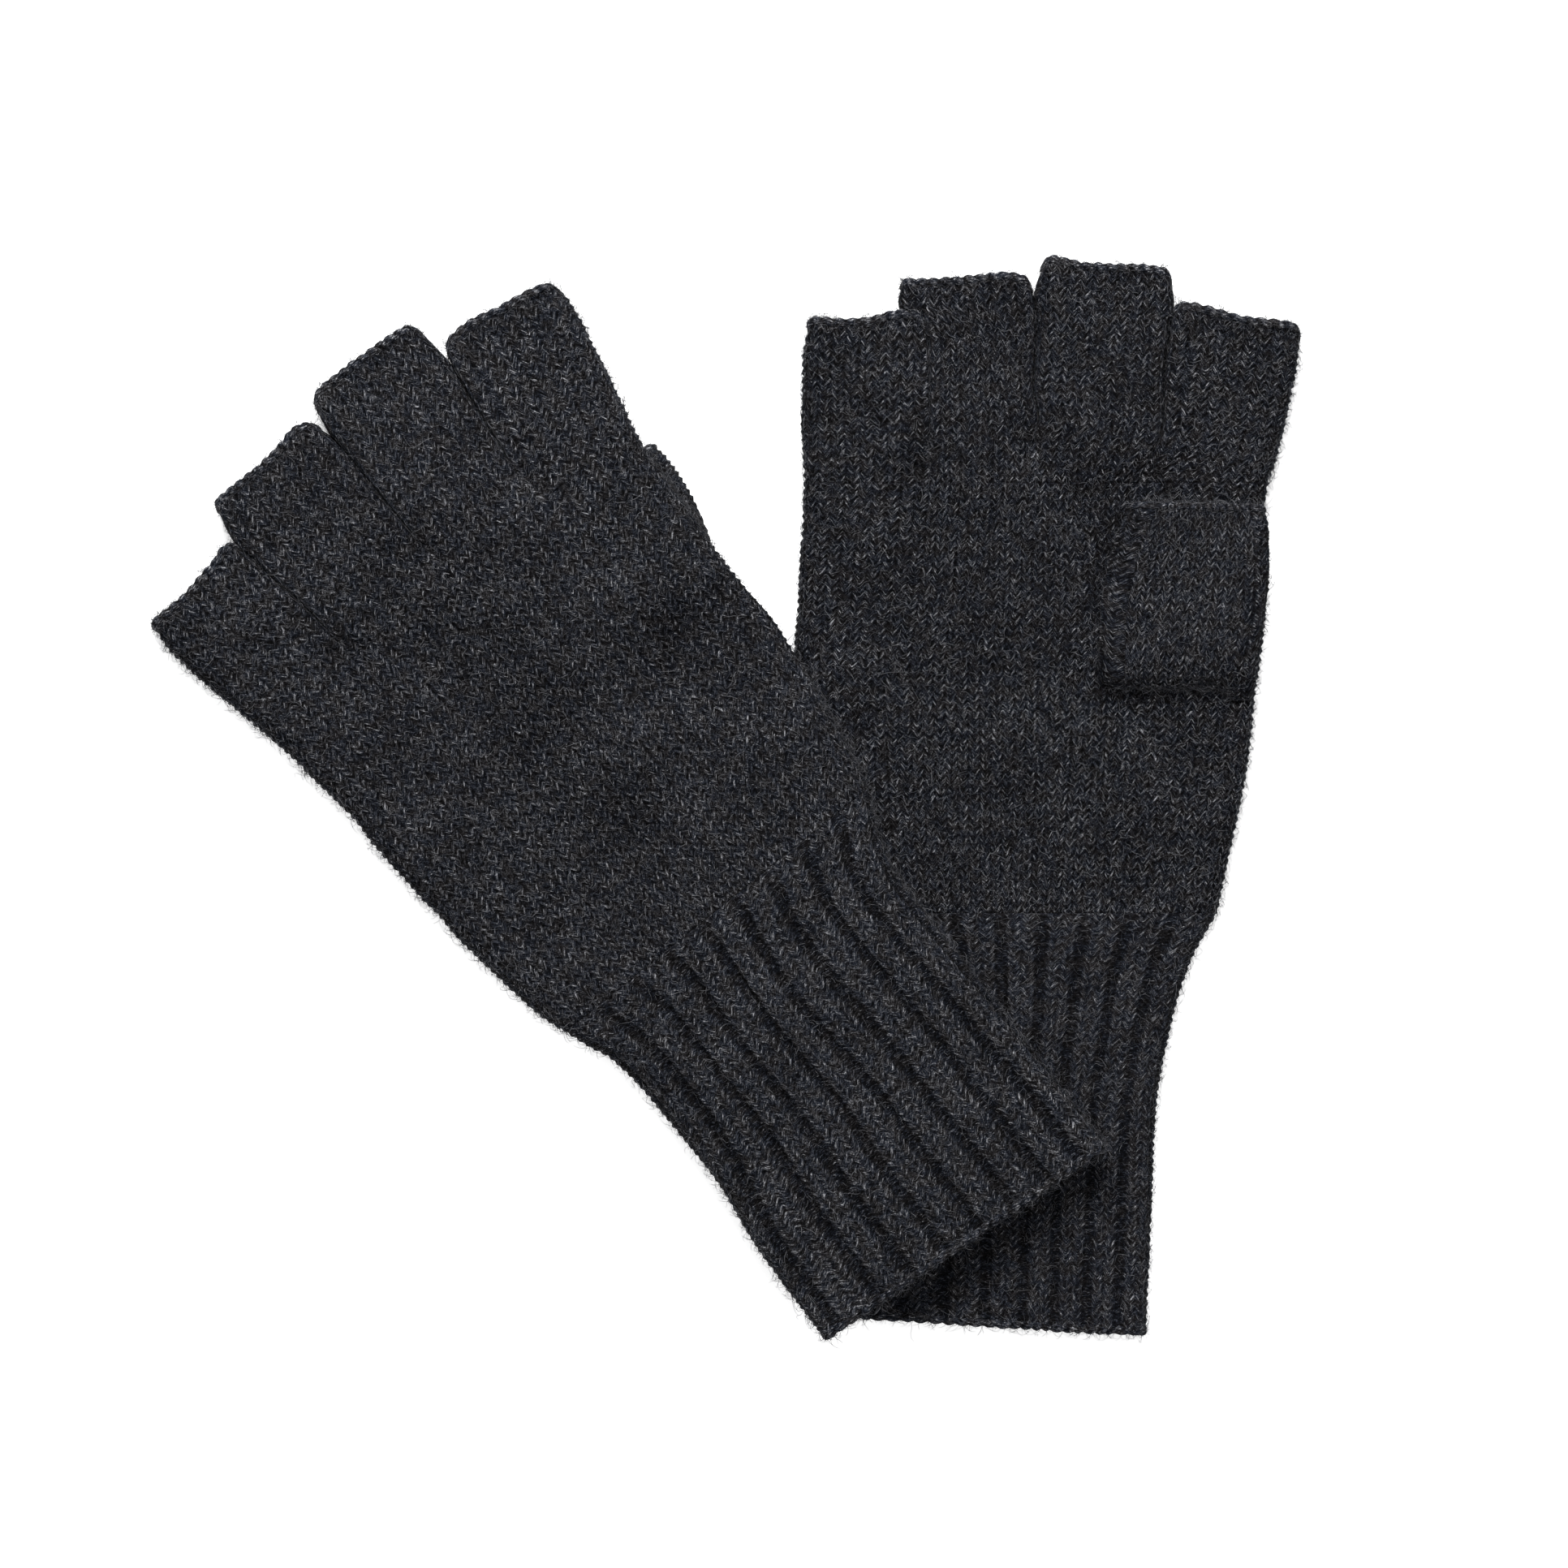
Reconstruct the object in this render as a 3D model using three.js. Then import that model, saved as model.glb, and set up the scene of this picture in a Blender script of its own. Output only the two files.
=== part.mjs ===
// A pair of knitted fingerless gloves, laid flat: the right glove lies palm up, and the left glove
// lies back up across its wrist. Every section of each glove is an open tube of knit.
// Millimetres, +Z up. The origin is at the centre of the footprint, on the surface the pair rests on.
import * as THREE from 'three';

// ---------------------------------------------------------------- driving dimensions
const HAND_THICK = 9.0;          // palm and back layers together, as the hand section lies
const FINGER_THICK = 8.4;
const THUMB_THICK = 7.0;
const CUFF_THICK = 9.2;
const KNIT_WALL = 1.4;           // one layer of plain knit
const FINGER_WALL = 1.3;
const THUMB_WALL = 1.2;
const CUFF_WALL = 1.7;           // one layer of rib, at a ridge
const RIB_DEPTH = 0.8;           // groove between two ribs
const RIBS = 9;                  // ribs on each side of a cuff
const EDGE_LENGTH = 1.7;         // bind-off chain along a finger or thumb
const CUFF_EDGE_LENGTH = 1.8;    // cast-on row of a cuff
const GAP = 0.3;                 // between sections that touch
const HINGE_GAP = 0.5;           // between sections on the lower side of a fold
const FINGER_FOLD = 5.4;         // extra room above a finger's fold, level glove
const FINGER_FOLD_DRAPED = 7.0;  // the same on the draped glove
const WRIST_FOLD = 7.4;          // room above the draped cuff's fold
const WRIST_SWING = 7.8;         // room beside the level cuff's swing
const ORIGIN = [-0.368, -0.25];     // footprint centre, in the layout's own coordinates

// Lie of the left glove: turned by LEFT_TURN about LEFT_AT.
const LEFT_TURN = 38.8;
const LEFT_AT = [11.715, 2.64];
// It rises over the right glove's edge, a line through COVER_POINT with the inward normal COVER_NORMAL,
const COVER_POINT = [22.275, 23.595];
const COVER_NORMAL = [0.8175, -0.5759];
const COVER_RISE = 9.5;
const COVER_FROM = -41, COVER_TO = -5;
// and over its own thumb stub.
const TUCK_RISE = 7.5;
const TUCK_U = [-45, -15];
const TUCK_V = [-5.6, 27.4, 74.4, 121.4];

// Outlines, each row from the little-finger edge to the index edge: u, v, u, v.
const RIGHT = {
  turn: 0, at: [0, 0], drape: false,
  hand: [[15.6, 68.81, 111.9, 68.81], [15.6, 57.75, 109.5, 57.75], [15.1, 49.83, 109.9, 49.83],
    [15.0, 36.63, 109.4, 36.63], [14.85, 28.5, 108.6, 28.5], [15.2, 18.0, 107.2, 18.0],
    [16.34, 5.28, 105.6, 5.28], [17.49, -4.62, 103.95, -4.62], [20.96, -23.6, 99.95, -23.6]],
  cuff: [[20.96, -23.6, 99.95, -23.6], [23.6, -29.37, 96.7, -29.37], [25.25, -34.32, 94.2, -34.32],
    [26.73, -44.22, 91.1, -44.22], [23.93, -64.02, 87.4, -64.02], [19.96, -105.6, 85.3, -109.95]],
  fingers: {
    index: [[87.78, 68.81, 111.95, 68.81], [89.43, 84.48, 115.4, 84.48], [91.3, 100.9, 116.3, 96.3]],
    middle: [[63.2, 68.81, 86.95, 68.81], [63.2, 84.48, 88.61, 84.48], [64.9, 109.5, 89.7, 107.6]],
    ring: [[41.58, 68.81, 62.54, 68.81], [38.94, 84.48, 62.37, 84.48], [36.5, 105.2, 61.0, 106.3]],
    little: [[15.6, 68.81, 40.92, 68.81], [15.35, 84.48, 38.28, 84.48], [16.6, 97.3, 35.15, 99.2]],
  },
  thumb: [[75.08, 23.76, 107.6, 23.76], [75.41, 34.98, 109.3, 34.98], [77.72, 48.18, 110.1, 48.18],
    [83.1, 60.3, 108.6, 59.6]],
  thumbFloor: HAND_THICK + GAP,     // the stub lies on the palm
  thumbHole: { rows: [4, 5], cols: [8, 11], side: 'top' },
};
const LEFT = {
  turn: LEFT_TURN, at: LEFT_AT, drape: true,
  hand: [[-77.0, 80.19, 22.6, 80.19], [-75.1, 68.64, 20.5, 68.64], [-72.95, 52.14, 19.6, 52.14],
    [-72.8, 41.5, 18.9, 41.5], [-72.3, 31.5, 18.8, 31.5], [-71.3, 19.14, 18.4, 19.14],
    [-70.45, 9.24, 16.9, 9.24], [-69.2, -0.66, 15.3, -0.66], [-66.83, -11.38, 13.0, -11.38]],
  cuff: [[-66.83, -11.38, 13.0, -11.38], [-64.84, -17.16, 10.5, -17.16], [-62.87, -22.11, 7.9, -22.11],
    [-61.95, -32.01, 6.2, -32.01], [-61.75, -50.16, 6.05, -50.16], [-63.6, -71.61, 5.75, -71.61],
    [-63.8, -92.9, 5.4, -98.5]],
  fingers: {
    index: [[-2.31, 80.19, 22.7, 80.19], [-0.66, 95.04, 25.8, 95.04], [2.6, 113.7, 27.0, 110.5]],
    middle: [[-26.89, 80.19, -2.97, 80.19], [-26.57, 95.04, -1.65, 95.04], [-24.9, 122.2, -1.1, 121.5]],
    ring: [[-52.14, 80.19, -27.55, 80.19], [-53.62, 93.39, -27.89, 93.39], [-53.8, 117.3, -29.7, 118.8]],
    little: [[-77.0, 80.19, -52.8, 80.19], [-79.5, 91.74, -54.12, 91.74], [-80.07, 105.9, -57.3, 109.0]],
  },
  thumb: [[-13.37, 36.47, 16.9, 36.47], [-12.04, 43.89, 18.9, 43.89], [-9.57, 55.44, 22.0, 55.44],
    [-3.47, 72.3, 22.5, 71.6]],
  thumbFloor: 0,                    // the stub is tucked under the palm
  thumbHole: { rows: [3, 4], cols: [8, 11], side: 'bottom' },
};

// ---------------------------------------------------------------- drape
const smooth = (t) => { const s = Math.min(1, Math.max(0, t)); return s * s * (3 - 2 * s); };

// Height of the left glove's underside above the surface.
function drape(u, v) {
  const d = (u - COVER_POINT[0]) * COVER_NORMAL[0] + (v - COVER_POINT[1]) * COVER_NORMAL[1];
  const cover = COVER_RISE * smooth((d - COVER_FROM) / (COVER_TO - COVER_FROM));
  const across = smooth((u - TUCK_U[0]) / (TUCK_U[1] - TUCK_U[0]));
  const along = v < TUCK_V[1] ? smooth((v - TUCK_V[0]) / (TUCK_V[1] - TUCK_V[0]))
    : smooth((TUCK_V[3] - v) / (TUCK_V[3] - TUCK_V[2]));
  const tuck = TUCK_RISE * across * along;
  return Math.pow(cover ** 6 + tuck ** 6, 1 / 6);
}

// ---------------------------------------------------------------- sections
const ARC = [60, 30, 0, -30, -60].map((a) => a * Math.PI / 180);

// One closed outline of a flat tube: nFlat points along the top, a rounded side, nFlat along the
// bottom, and the other side. Each point is [across, up].
function outline(halfWidth, halfThick, side, nFlat, groove) {
  const pts = [];
  const flat = halfWidth - side;
  for (let i = 0; i < nFlat; i++) pts.push([-flat + 2 * flat * i / (nFlat - 1), halfThick - (i % 2 ? groove : 0)]);
  for (const a of ARC) pts.push([flat + side * Math.cos(a), halfThick * Math.sin(a)]);
  for (let i = nFlat - 1; i >= 0; i--) pts.push([-flat + 2 * flat * i / (nFlat - 1), -halfThick + (i % 2 ? groove : 0)]);
  for (const a of [...ARC].reverse()) pts.push([-flat - side * Math.cos(a), halfThick * Math.sin(a)]);
  return pts;
}

// A ring of points in space. shift(q, c) moves a point along the tube, where q is its height from
// -1 to 1 and c its place across from -1 to 1.
function ringAt(glove, row, o, inner, shift) {
  const [u0, v0, u1, v1] = row;
  const du = (u1 - u0) / 2, dv = (v1 - v0) / 2, a = Math.hypot(du, dv);
  const half = o.thick / 2;
  const pts = inner
    ? outline(a - o.wall, half - o.wall, o.side - o.wall, o.nFlat, 0)
    : outline(a, half, o.side, o.nFlat, o.groove || 0);
  return pts.map(([x, z]) => {
    const c = x / a, q = z / half;
    const u = (u0 + u1) / 2 + du * c;
    const v = (v0 + v1) / 2 + dv * c + (shift ? shift(q, c) : 0);
    const lift = glove.drape && !o.flat ? drape(u, v) : 0;
    return [u, v, (o.floor || 0) + lift + half + z];
  });
}

function place(glove, [u, v, z]) {
  const t = glove.turn * Math.PI / 180, c = Math.cos(t), s = Math.sin(t);
  return [glove.at[0] + c * u - s * v - ORIGIN[0], glove.at[1] + s * u + c * v - ORIGIN[1], z];
}

function material(color) {
  return new THREE.MeshStandardMaterial({ color, roughness: 0.95, metalness: 0.0 });
}

const group = new THREE.Group();

// A tube with a real wall, open at both ends, lofted through rows. A hole leaves out the wall's
// quads between two rows and two columns, and is closed round its rim.
function tube(name, glove, rows, o, color) {
  const S = rows.length, rings = [0, 1].map((inner) => rows.map((row, s) =>
    ringAt(glove, row, o, inner === 1, s === 0 ? o.startShift : s === S - 1 ? o.endShift : null)));
  const N = rings[0][0].length;
  const pos = [], index = [];
  for (const wall of rings) for (const ring of wall) for (const p of ring) pos.push(...place(glove, p));
  const id = (inner, s, k) => inner * S * N + s * N + ((k % N) + N) % N;
  const quad = (a, b, c, d) => index.push(a, b, c, a, c, d);
  let hole = null;
  if (o.hole) {
    const [r0, r1] = o.hole.rows, [c0, c1] = o.hole.cols;
    hole = o.hole.side === 'top' ? { r0, r1, k0: c0, k1: c1 }
      : { r0, r1, k0: o.nFlat + ARC.length + (o.nFlat - 1 - c1), k1: o.nFlat + ARC.length + (o.nFlat - 1 - c0) };
  }
  for (let s = 0; s < S - 1; s++) {
    for (let k = 0; k < N; k++) {
      if (hole && s >= hole.r0 && s < hole.r1 && k >= hole.k0 && k < hole.k1) continue;
      quad(id(0, s, k), id(0, s, k + 1), id(0, s + 1, k + 1), id(0, s + 1, k));
      quad(id(1, s, k), id(1, s + 1, k), id(1, s + 1, k + 1), id(1, s, k + 1));
    }
  }
  for (let k = 0; k < N; k++) {
    quad(id(0, 0, k), id(1, 0, k), id(1, 0, k + 1), id(0, 0, k + 1));
    quad(id(0, S - 1, k), id(0, S - 1, k + 1), id(1, S - 1, k + 1), id(1, S - 1, k));
  }
  if (hole) {
    const { r0, r1, k0, k1 } = hole;
    for (let k = k0; k < k1; k++) {
      quad(id(0, r0, k), id(0, r0, k + 1), id(1, r0, k + 1), id(1, r0, k));
      quad(id(0, r1, k), id(1, r1, k), id(1, r1, k + 1), id(0, r1, k + 1));
    }
    for (let s = r0; s < r1; s++) {
      quad(id(0, s, k0), id(1, s, k0), id(1, s + 1, k0), id(0, s + 1, k0));
      quad(id(0, s, k1), id(0, s + 1, k1), id(1, s + 1, k1), id(1, s, k1));
    }
  }
  let volume = 0;
  const P = (i) => new THREE.Vector3(pos[3 * i], pos[3 * i + 1], pos[3 * i + 2]);
  for (let i = 0; i < index.length; i += 3) volume += P(index[i]).dot(P(index[i + 1]).cross(P(index[i + 2])));
  if (volume < 0) for (let i = 0; i < index.length; i += 3) [index[i + 1], index[i + 2]] = [index[i + 2], index[i + 1]];
  const g = new THREE.BufferGeometry();
  g.setAttribute('position', new THREE.Float32BufferAttribute(pos, 3));
  g.setIndex(index);
  g.computeVertexNormals();
  const mesh = new THREE.Mesh(g, material(color));
  mesh.name = name;
  group.add(mesh);
  return mesh;
}

// Moves a row along the tube's run by d, towards the next row.
function stepTo(row, next, d) {
  const L = Math.hypot(next[0] - row[0], next[1] - row[1]), R = Math.hypot(next[2] - row[2], next[3] - row[3]);
  return [row[0] + (next[0] - row[0]) * d / L, row[1] + (next[1] - row[1]) * d / L,
    row[2] + (next[2] - row[2]) * d / R, row[3] + (next[3] - row[3]) * d / R];
}

// A stub and its bind-off edge: the edge takes the last part of the run.
function stub(prefix, glove, rows, o, color, edgeColor, edgeLength) {
  const n = rows.length, tip = rows[n - 1], before = rows[n - 2];
  const edgeStart = stepTo(tip, before, edgeLength);
  const bodyEnd = stepTo(tip, before, edgeLength + GAP);
  tube(prefix, glove, [...rows.slice(0, n - 1), bodyEnd], o, color);
  tube(`${prefix}_edge`, glove, [edgeStart, tip], { ...o, startShift: null, endShift: null, hole: null }, edgeColor);
}

const KNIT = 0x2b2c31, EDGE = 0x26272b, RIB = 0x28292e;

for (const [side, glove] of [['right', RIGHT], ['left', LEFT]]) {
  const fold = glove.drape ? FINGER_FOLD_DRAPED : FINGER_FOLD;
  tube(`${side}_hand`, glove, glove.hand, {
    thick: HAND_THICK, wall: KNIT_WALL, side: 6, nFlat: 12, hole: glove.thumbHole,
    startShift: (q) => -(HINGE_GAP + fold * Math.max(0, (q + 1) / 2)),
    endShift: glove.drape ? (q) => HINGE_GAP + WRIST_FOLD * (q + 1) / 2
      : (q, c) => HINGE_GAP + WRIST_SWING * Math.max(0, c),
  }, KNIT);
  for (const [finger, rows] of Object.entries(glove.fingers)) {
    stub(`${side}_${finger}`, glove, rows, { thick: FINGER_THICK, wall: FINGER_WALL, side: 4.5, nFlat: 5 },
      KNIT, EDGE, EDGE_LENGTH);
  }
  stub(`${side}_thumb`, glove, glove.thumb,
    { thick: THUMB_THICK, wall: THUMB_WALL, side: 4.5, nFlat: 5, flat: true, floor: glove.thumbFloor },
    KNIT, EDGE, EDGE_LENGTH);
  stub(`${side}_cuff`, glove, glove.cuff,
    { thick: CUFF_THICK, wall: CUFF_WALL, side: 6, nFlat: 2 * RIBS + 1, groove: RIB_DEPTH },
    RIB, EDGE, CUFF_EDGE_LENGTH);
}

export default group;
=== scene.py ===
"""A pair of charcoal heather knitted fingerless gloves, laid flat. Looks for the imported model.

Every section of each glove is knitted here stitch by stitch as a real open tube: an outer wall with
its own stitches, an inner wall, and rims. Lengths are in millimetres in the gloves' own layout
(u across, v towards the fingertips, z up) until a mesh is made.
"""
import math

import bpy
import numpy as np
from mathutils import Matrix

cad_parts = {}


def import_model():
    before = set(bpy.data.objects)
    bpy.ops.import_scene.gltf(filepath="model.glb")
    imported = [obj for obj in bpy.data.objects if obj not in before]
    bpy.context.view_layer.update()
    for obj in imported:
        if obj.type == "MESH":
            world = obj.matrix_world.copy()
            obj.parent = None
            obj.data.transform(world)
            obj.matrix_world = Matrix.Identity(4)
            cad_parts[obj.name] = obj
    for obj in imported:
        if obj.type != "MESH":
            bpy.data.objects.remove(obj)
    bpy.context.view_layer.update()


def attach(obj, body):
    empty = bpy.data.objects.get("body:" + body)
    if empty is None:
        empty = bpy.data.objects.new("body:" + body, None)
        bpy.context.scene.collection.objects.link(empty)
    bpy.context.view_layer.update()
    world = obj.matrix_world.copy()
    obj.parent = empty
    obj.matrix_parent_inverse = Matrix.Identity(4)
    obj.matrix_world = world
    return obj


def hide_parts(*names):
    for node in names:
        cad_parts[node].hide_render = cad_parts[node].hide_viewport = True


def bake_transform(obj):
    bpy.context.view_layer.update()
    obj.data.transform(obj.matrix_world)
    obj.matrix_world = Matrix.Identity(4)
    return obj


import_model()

# ------------------------------------------------------------------ layout
MM = 0.001
K = 0.165                      # layout measure to millimetres
ORIGIN = (-0.368, -0.25)
TURN = {"right": 0.0, "left": math.radians(38.8)}
AT = {"right": (0.0, 0.0), "left": (11.715, 2.64)}
WALE, COURSE = 2.41, 1.71      # one stitch across and along
FRONT_COLS, BACK_COLS = 8, 4   # mesh columns to a wale
FRONT_ROWS = 4                 # mesh rows to a course; the underside has half as many
HAND_HALF, FINGER_HALF, TIP_HALF, CUFF_HALF = 4.5, 4.2, 3.9, 4.6
WALL, CUFF_WALL = 1.3, 2.0


def world(side, P):
    P = np.asarray(P, float)
    c, s = math.cos(TURN[side]), math.sin(TURN[side])
    out = np.empty_like(P)
    out[..., 0] = AT[side][0] + c * P[..., 0] - s * P[..., 1] - ORIGIN[0]
    out[..., 1] = AT[side][1] + s * P[..., 0] + c * P[..., 1] - ORIGIN[1]
    out[..., 2] = P[..., 2]
    return out * MM


def point(side, u, v, z):
    return tuple(float(x) for x in world(side, np.array([u, v, z])))


def smooth(t):
    t = np.clip(t, 0.0, 1.0)
    return t * t * (3 - 2 * t)


def pchip(xs, ys):
    """A smooth curve through the points that doesn't overshoot."""
    xs, ys = np.asarray(xs, float), np.asarray(ys, float)
    order = np.argsort(xs)
    xs, ys = xs[order], ys[order]
    h, d = np.diff(xs), np.diff(ys) / np.diff(xs)
    m = np.zeros_like(xs)
    if len(xs) > 2:
        w1, w2 = 2 * h[1:] + h[:-1], h[1:] + 2 * h[:-1]
        ok = d[:-1] * d[1:] > 0
        with np.errstate(divide="ignore", invalid="ignore"):
            m[1:-1] = np.where(ok, (w1 + w2) / (w1 / d[:-1] + w2 / d[1:]), 0)
    m[0], m[-1] = d[0], d[-1]

    def f(q):
        q = np.clip(np.asarray(q, float), xs[0], xs[-1])
        i = np.clip(np.searchsorted(xs, q, side="right") - 1, 0, len(xs) - 2)
        t = (q - xs[i]) / h[i]
        return (ys[i] * (1 + 2 * t) * (1 - t) ** 2 + ys[i + 1] * t * t * (3 - 2 * t)
                + h[i] * (m[i] * t * (1 - t) ** 2 + m[i + 1] * t * t * (t - 1)))

    return f


def vnoise(x, y, seed):
    """Smooth value noise from -1 to 1."""
    tab = np.random.default_rng(seed).random((97, 89)) * 2 - 1
    xi, yi = np.floor(x).astype(int), np.floor(y).astype(int)
    fx, fy = smooth(x - xi), smooth(y - yi)
    g = lambda i, j: tab[i % 97, j % 89]
    return ((g(xi, yi) * (1 - fx) + g(xi + 1, yi) * fx) * (1 - fy)
            + (g(xi, yi + 1) * (1 - fx) + g(xi + 1, yi + 1) * fx) * fy)


def bump(u, v, cu, cv, su, sv, turn=0.0):
    c, s = math.cos(math.radians(turn)), math.sin(math.radians(turn))
    du, dv = u - cu, v - cv
    a, b = c * du + s * dv, -s * du + c * dv
    return np.exp(-((a / su) ** 2) - (b / sv) ** 2)


def drape(side, u, v):
    """Height of the underside above the surface: the left glove lies over the right one and its own thumb."""
    if side == "right":
        return np.zeros_like(u * 1.0)
    d = (u - 22.275) * 0.8175 + (v - 23.595) * (-0.5759)
    cover = 9.5 * smooth((d + 41) / 36)
    along = np.where(v < 27.4, smooth((v + 5.6) / 33), smooth((121.4 - v) / 47))
    tuck = 7.5 * smooth((u + 45) / 30) * along
    return (cover ** 6 + tuck ** 6) ** (1 / 6)


# Outlines: left and right edge of the hand and cuff by v; the fingers' edges and tips as points.
RX = lambda side, pts: [((x - (895 if side == "right" else 966)) * K,
                         ((982 if side == "right" else 966) - y) * K) for x, y in pts]

GLOVE = {
    "right": {
        "wrist": -23.6, "join": 63.81, "hinge": 68.81,
        "hand": [[16.83, 67.98, 111.05], [16.83, 63.81, 109.25], [16.83, 57.75, 108.24], [16.34, 49.83, 108.57],
                 [15.84, 43.23, 108.9], [15.35, 36.63, 108.41], [14.85, 31.68, 107.91], [14.85, 23.43, 106.76],
                 [15.51, 15.18, 106.26], [16.34, 5.28, 105.44], [17.49, -4.62, 103.79], [18.81, -12.87, 101.97],
                 [20.96, -23.6, 99.83]],
        "cuff": [[20.96, -23.6, 99.83, -23.6], [23.6, -29.37, 96.53, -29.37], [25.25, -34.32, 94.05, -34.32],
                 [26.73, -44.22, 90.92, -44.22], [23.93, -64.02, 87.29, -64.02], [21.29, -85.47, 86.3, -85.47],
                 [19.96, -105.4, 85.2, -109.7]],
        "bounds": [41.25, 62.7, 83.9],
        "forks": [(41.25, 70.5), (62.7, 73.0), (85.0, 66.0)],
        "fingers": {
            "little": {
                "L": [(997, 595.3), (995, 540), (993, 490), (994, 440), (998, 415), (1001, 402)],
                "R": [(1145, 595.3), (1145, 545), (1145, 470), (1144, 430), (1143, 412)],
                "T": [(1001, 402), (1006, 397), (1020, 397), (1045, 399), (1070, 397), (1100, 388), (1114, 386),
                      (1128, 391), (1138, 399), (1143, 412)]},
            "ring": {
                "L": [(1145, 595.3), (1145, 545), (1145, 470), (1144, 430), (1142, 409), (1130, 392), (1115, 382),
                      (1113, 371), (1117, 356)],
                "R": [(1275, 595.3), (1275, 535), (1280, 515), (1273, 480), (1277, 415), (1272, 379), (1266, 362)],
                "T": [(1117, 356), (1121, 350), (1150, 350), (1180, 348), (1205, 345), (1235, 342), (1254, 344),
                      (1261, 350), (1266, 362)]},
            "middle": {
                "L": [(1275, 595.3), (1275, 535), (1280, 515), (1273, 480), (1277, 415), (1278, 375), (1284, 348),
                      (1289, 335)],
                "R": [(1403, 595.3), (1408, 580), (1424, 550), (1432, 520), (1433, 480), (1437, 440), (1441, 405),
                      (1441, 375), (1438, 353)],
                "T": [(1289, 335), (1294, 326), (1302, 321), (1320, 325), (1345, 331), (1400, 332), (1428, 336),
                      (1435, 342), (1438, 353)]},
            "index": {
                "L": [(1403, 595.3), (1408, 580), (1424, 550), (1432, 520), (1433, 480), (1437, 440), (1441, 410),
                      (1446, 393)],
                "R": [(1559, 595.3), (1568, 570), (1577, 530), (1585, 490), (1590, 450), (1592, 418)],
                "T": [(1446, 393), (1452, 382), (1462, 377), (1480, 381), (1510, 391), (1540, 398), (1575, 402),
                      (1587, 407), (1592, 418)]},
        },
    },
    "left": {
        "wrist": -11.38, "join": 75.19, "hinge": 80.19,
        "hand": [[-76.23, 79.37, 21.45], [-75.3, 75.19, 20.45], [-73.92, 68.64, 19.14], [-72.77, 60.39, 18.98],
                 [-72.11, 52.14, 18.32], [-71.78, 43.89, 17.82], [-71.45, 36.47, 17.82], [-71.12, 27.39, 18.32],
                 [-71.28, 19.14, 17.66], [-70.45, 9.24, 16.34], [-69.14, -0.66, 14.85], [-68.31, -5.61, 14.03],
                 [-66.83, -11.38, 12.71]],
        "cuff": [[-66.83, -11.38, 12.71, -11.38], [-64.84, -17.16, 10.23, -17.16], [-62.87, -22.11, 7.59, -22.11],
                 [-61.88, -32.01, 5.94, -32.01], [-61.55, -50.16, 5.78, -50.16], [-63.36, -71.61, 5.45, -71.61],
                 [-63.4, -92.9, 5.12, -98.5]],
        "bounds": [-52.47, -27.22, -2.64],
        "forks": [(-52.47, 79.8), (-27.3, 84.0), (-2.5, 83.3)],
        "fingers": {
            "little": {
                "L": [(509.6, 510.3), (508, 500), (497, 440), (488, 395), (484, 355), (487, 332)],
                "R": [(648, 510.3), (648, 485), (645, 445), (642, 415), (635, 385), (630, 342), (626, 324)],
                "T": [(487, 332), (493, 328), (512, 327), (535, 327), (560, 322), (590, 316), (606, 310),
                      (618, 313), (626, 324)]},
            "ring": {
                "L": [(648, 510.3), (648, 485), (645, 445), (642, 415), (635, 385), (631, 345), (629, 322),
                      (632, 295), (639, 270)],
                "R": [(801, 510.3), (802, 455), (803, 440), (802, 400), (801, 312), (796, 289), (788, 266)],
                "T": [(639, 270), (645, 262), (660, 260), (700, 261), (740, 257), (766, 251), (779, 255),
                      (788, 266)]},
            "middle": {
                "L": [(801, 510.3), (802, 455), (803, 440), (802, 400), (801, 335), (802, 298), (806, 275),
                      (811, 251)],
                "R": [(950, 510.3), (950, 460), (952, 440), (957, 400), (961, 370), (966, 325), (964, 290),
                      (960, 252)],
                "T": [(811, 251), (816, 239), (824, 231), (837, 228), (870, 229), (920, 232), (948, 235),
                      (956, 241), (960, 252)]},
            "index": {
                "L": [(950, 510.3), (950, 460), (952, 440), (957, 400), (961, 370), (967, 330), (975, 310),
                      (982, 293)],
                "R": [(1090, 510.3), (1097, 480), (1105, 440), (1113, 400), (1122, 360), (1125, 330), (1123, 317)],
                "T": [(982, 293), (988, 282), (998, 277), (1010, 276), (1060, 287), (1112, 300), (1119, 305),
                      (1123, 317)]},
        },
    },
}
for _side, _g in GLOVE.items():
    for _f in _g["fingers"].values():
        for _k in "LRT":
            _f[_k] = RX(_side, _f[_k])
FINGERS = ["little", "ring", "middle", "index"]

# How far each silhouette stands out from those rows, by v, with the soft edge of the knit
TRIM = {
    ("right", 0): [(-110, -1.0), (40, -1.2), (50, -1.5), (60, -1.45), (65, -1.2), (75, -1.4), (80, -1.0), (95, -1.0)],
    ("right", 1): [(-110, 0.3), (-25, 0.2), (0, 0.35), (10, 0.8), (20, 1.1), (25, 1.5), (35, 1.45), (45, 1.2),
                   (50, 1.35), (55, 0.9), (60, 1.3), (70, 1.0), (80, 1.1), (85, 1.45), (95, 2.0)],
    ("left", 0): [(-95, -0.8), (-78, -0.5), (-70, 0.0), (-40, 0.4), (-12, 0.35), (-7, -0.1), (10, -0.2), (23, -0.5), (28, -1.2), (43, -1.4), (48, -0.9),
                  (53, -1.05), (60, -1.4), (73, -1.1), (85, -1.3), (103, -1.1)],
    ("left", 1): [(-95, 0.3), (-12, 0.3), (20, 0.8), (48, 1.4), (68, 1.4), (78, 1.25), (90, 1.6), (103, 1.5)],
}
TIP_OUT = {"right": {}, "left": {"index": 0.15, "middle": 0.55}}      # the bind-off cord, past the points above


def trim(side, k, v):
    t = TRIM[(side, k)]
    return np.interp(v, [a for a, _ in t], [b for _, b in t]) + (0.12 if k else -0.12)


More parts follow.
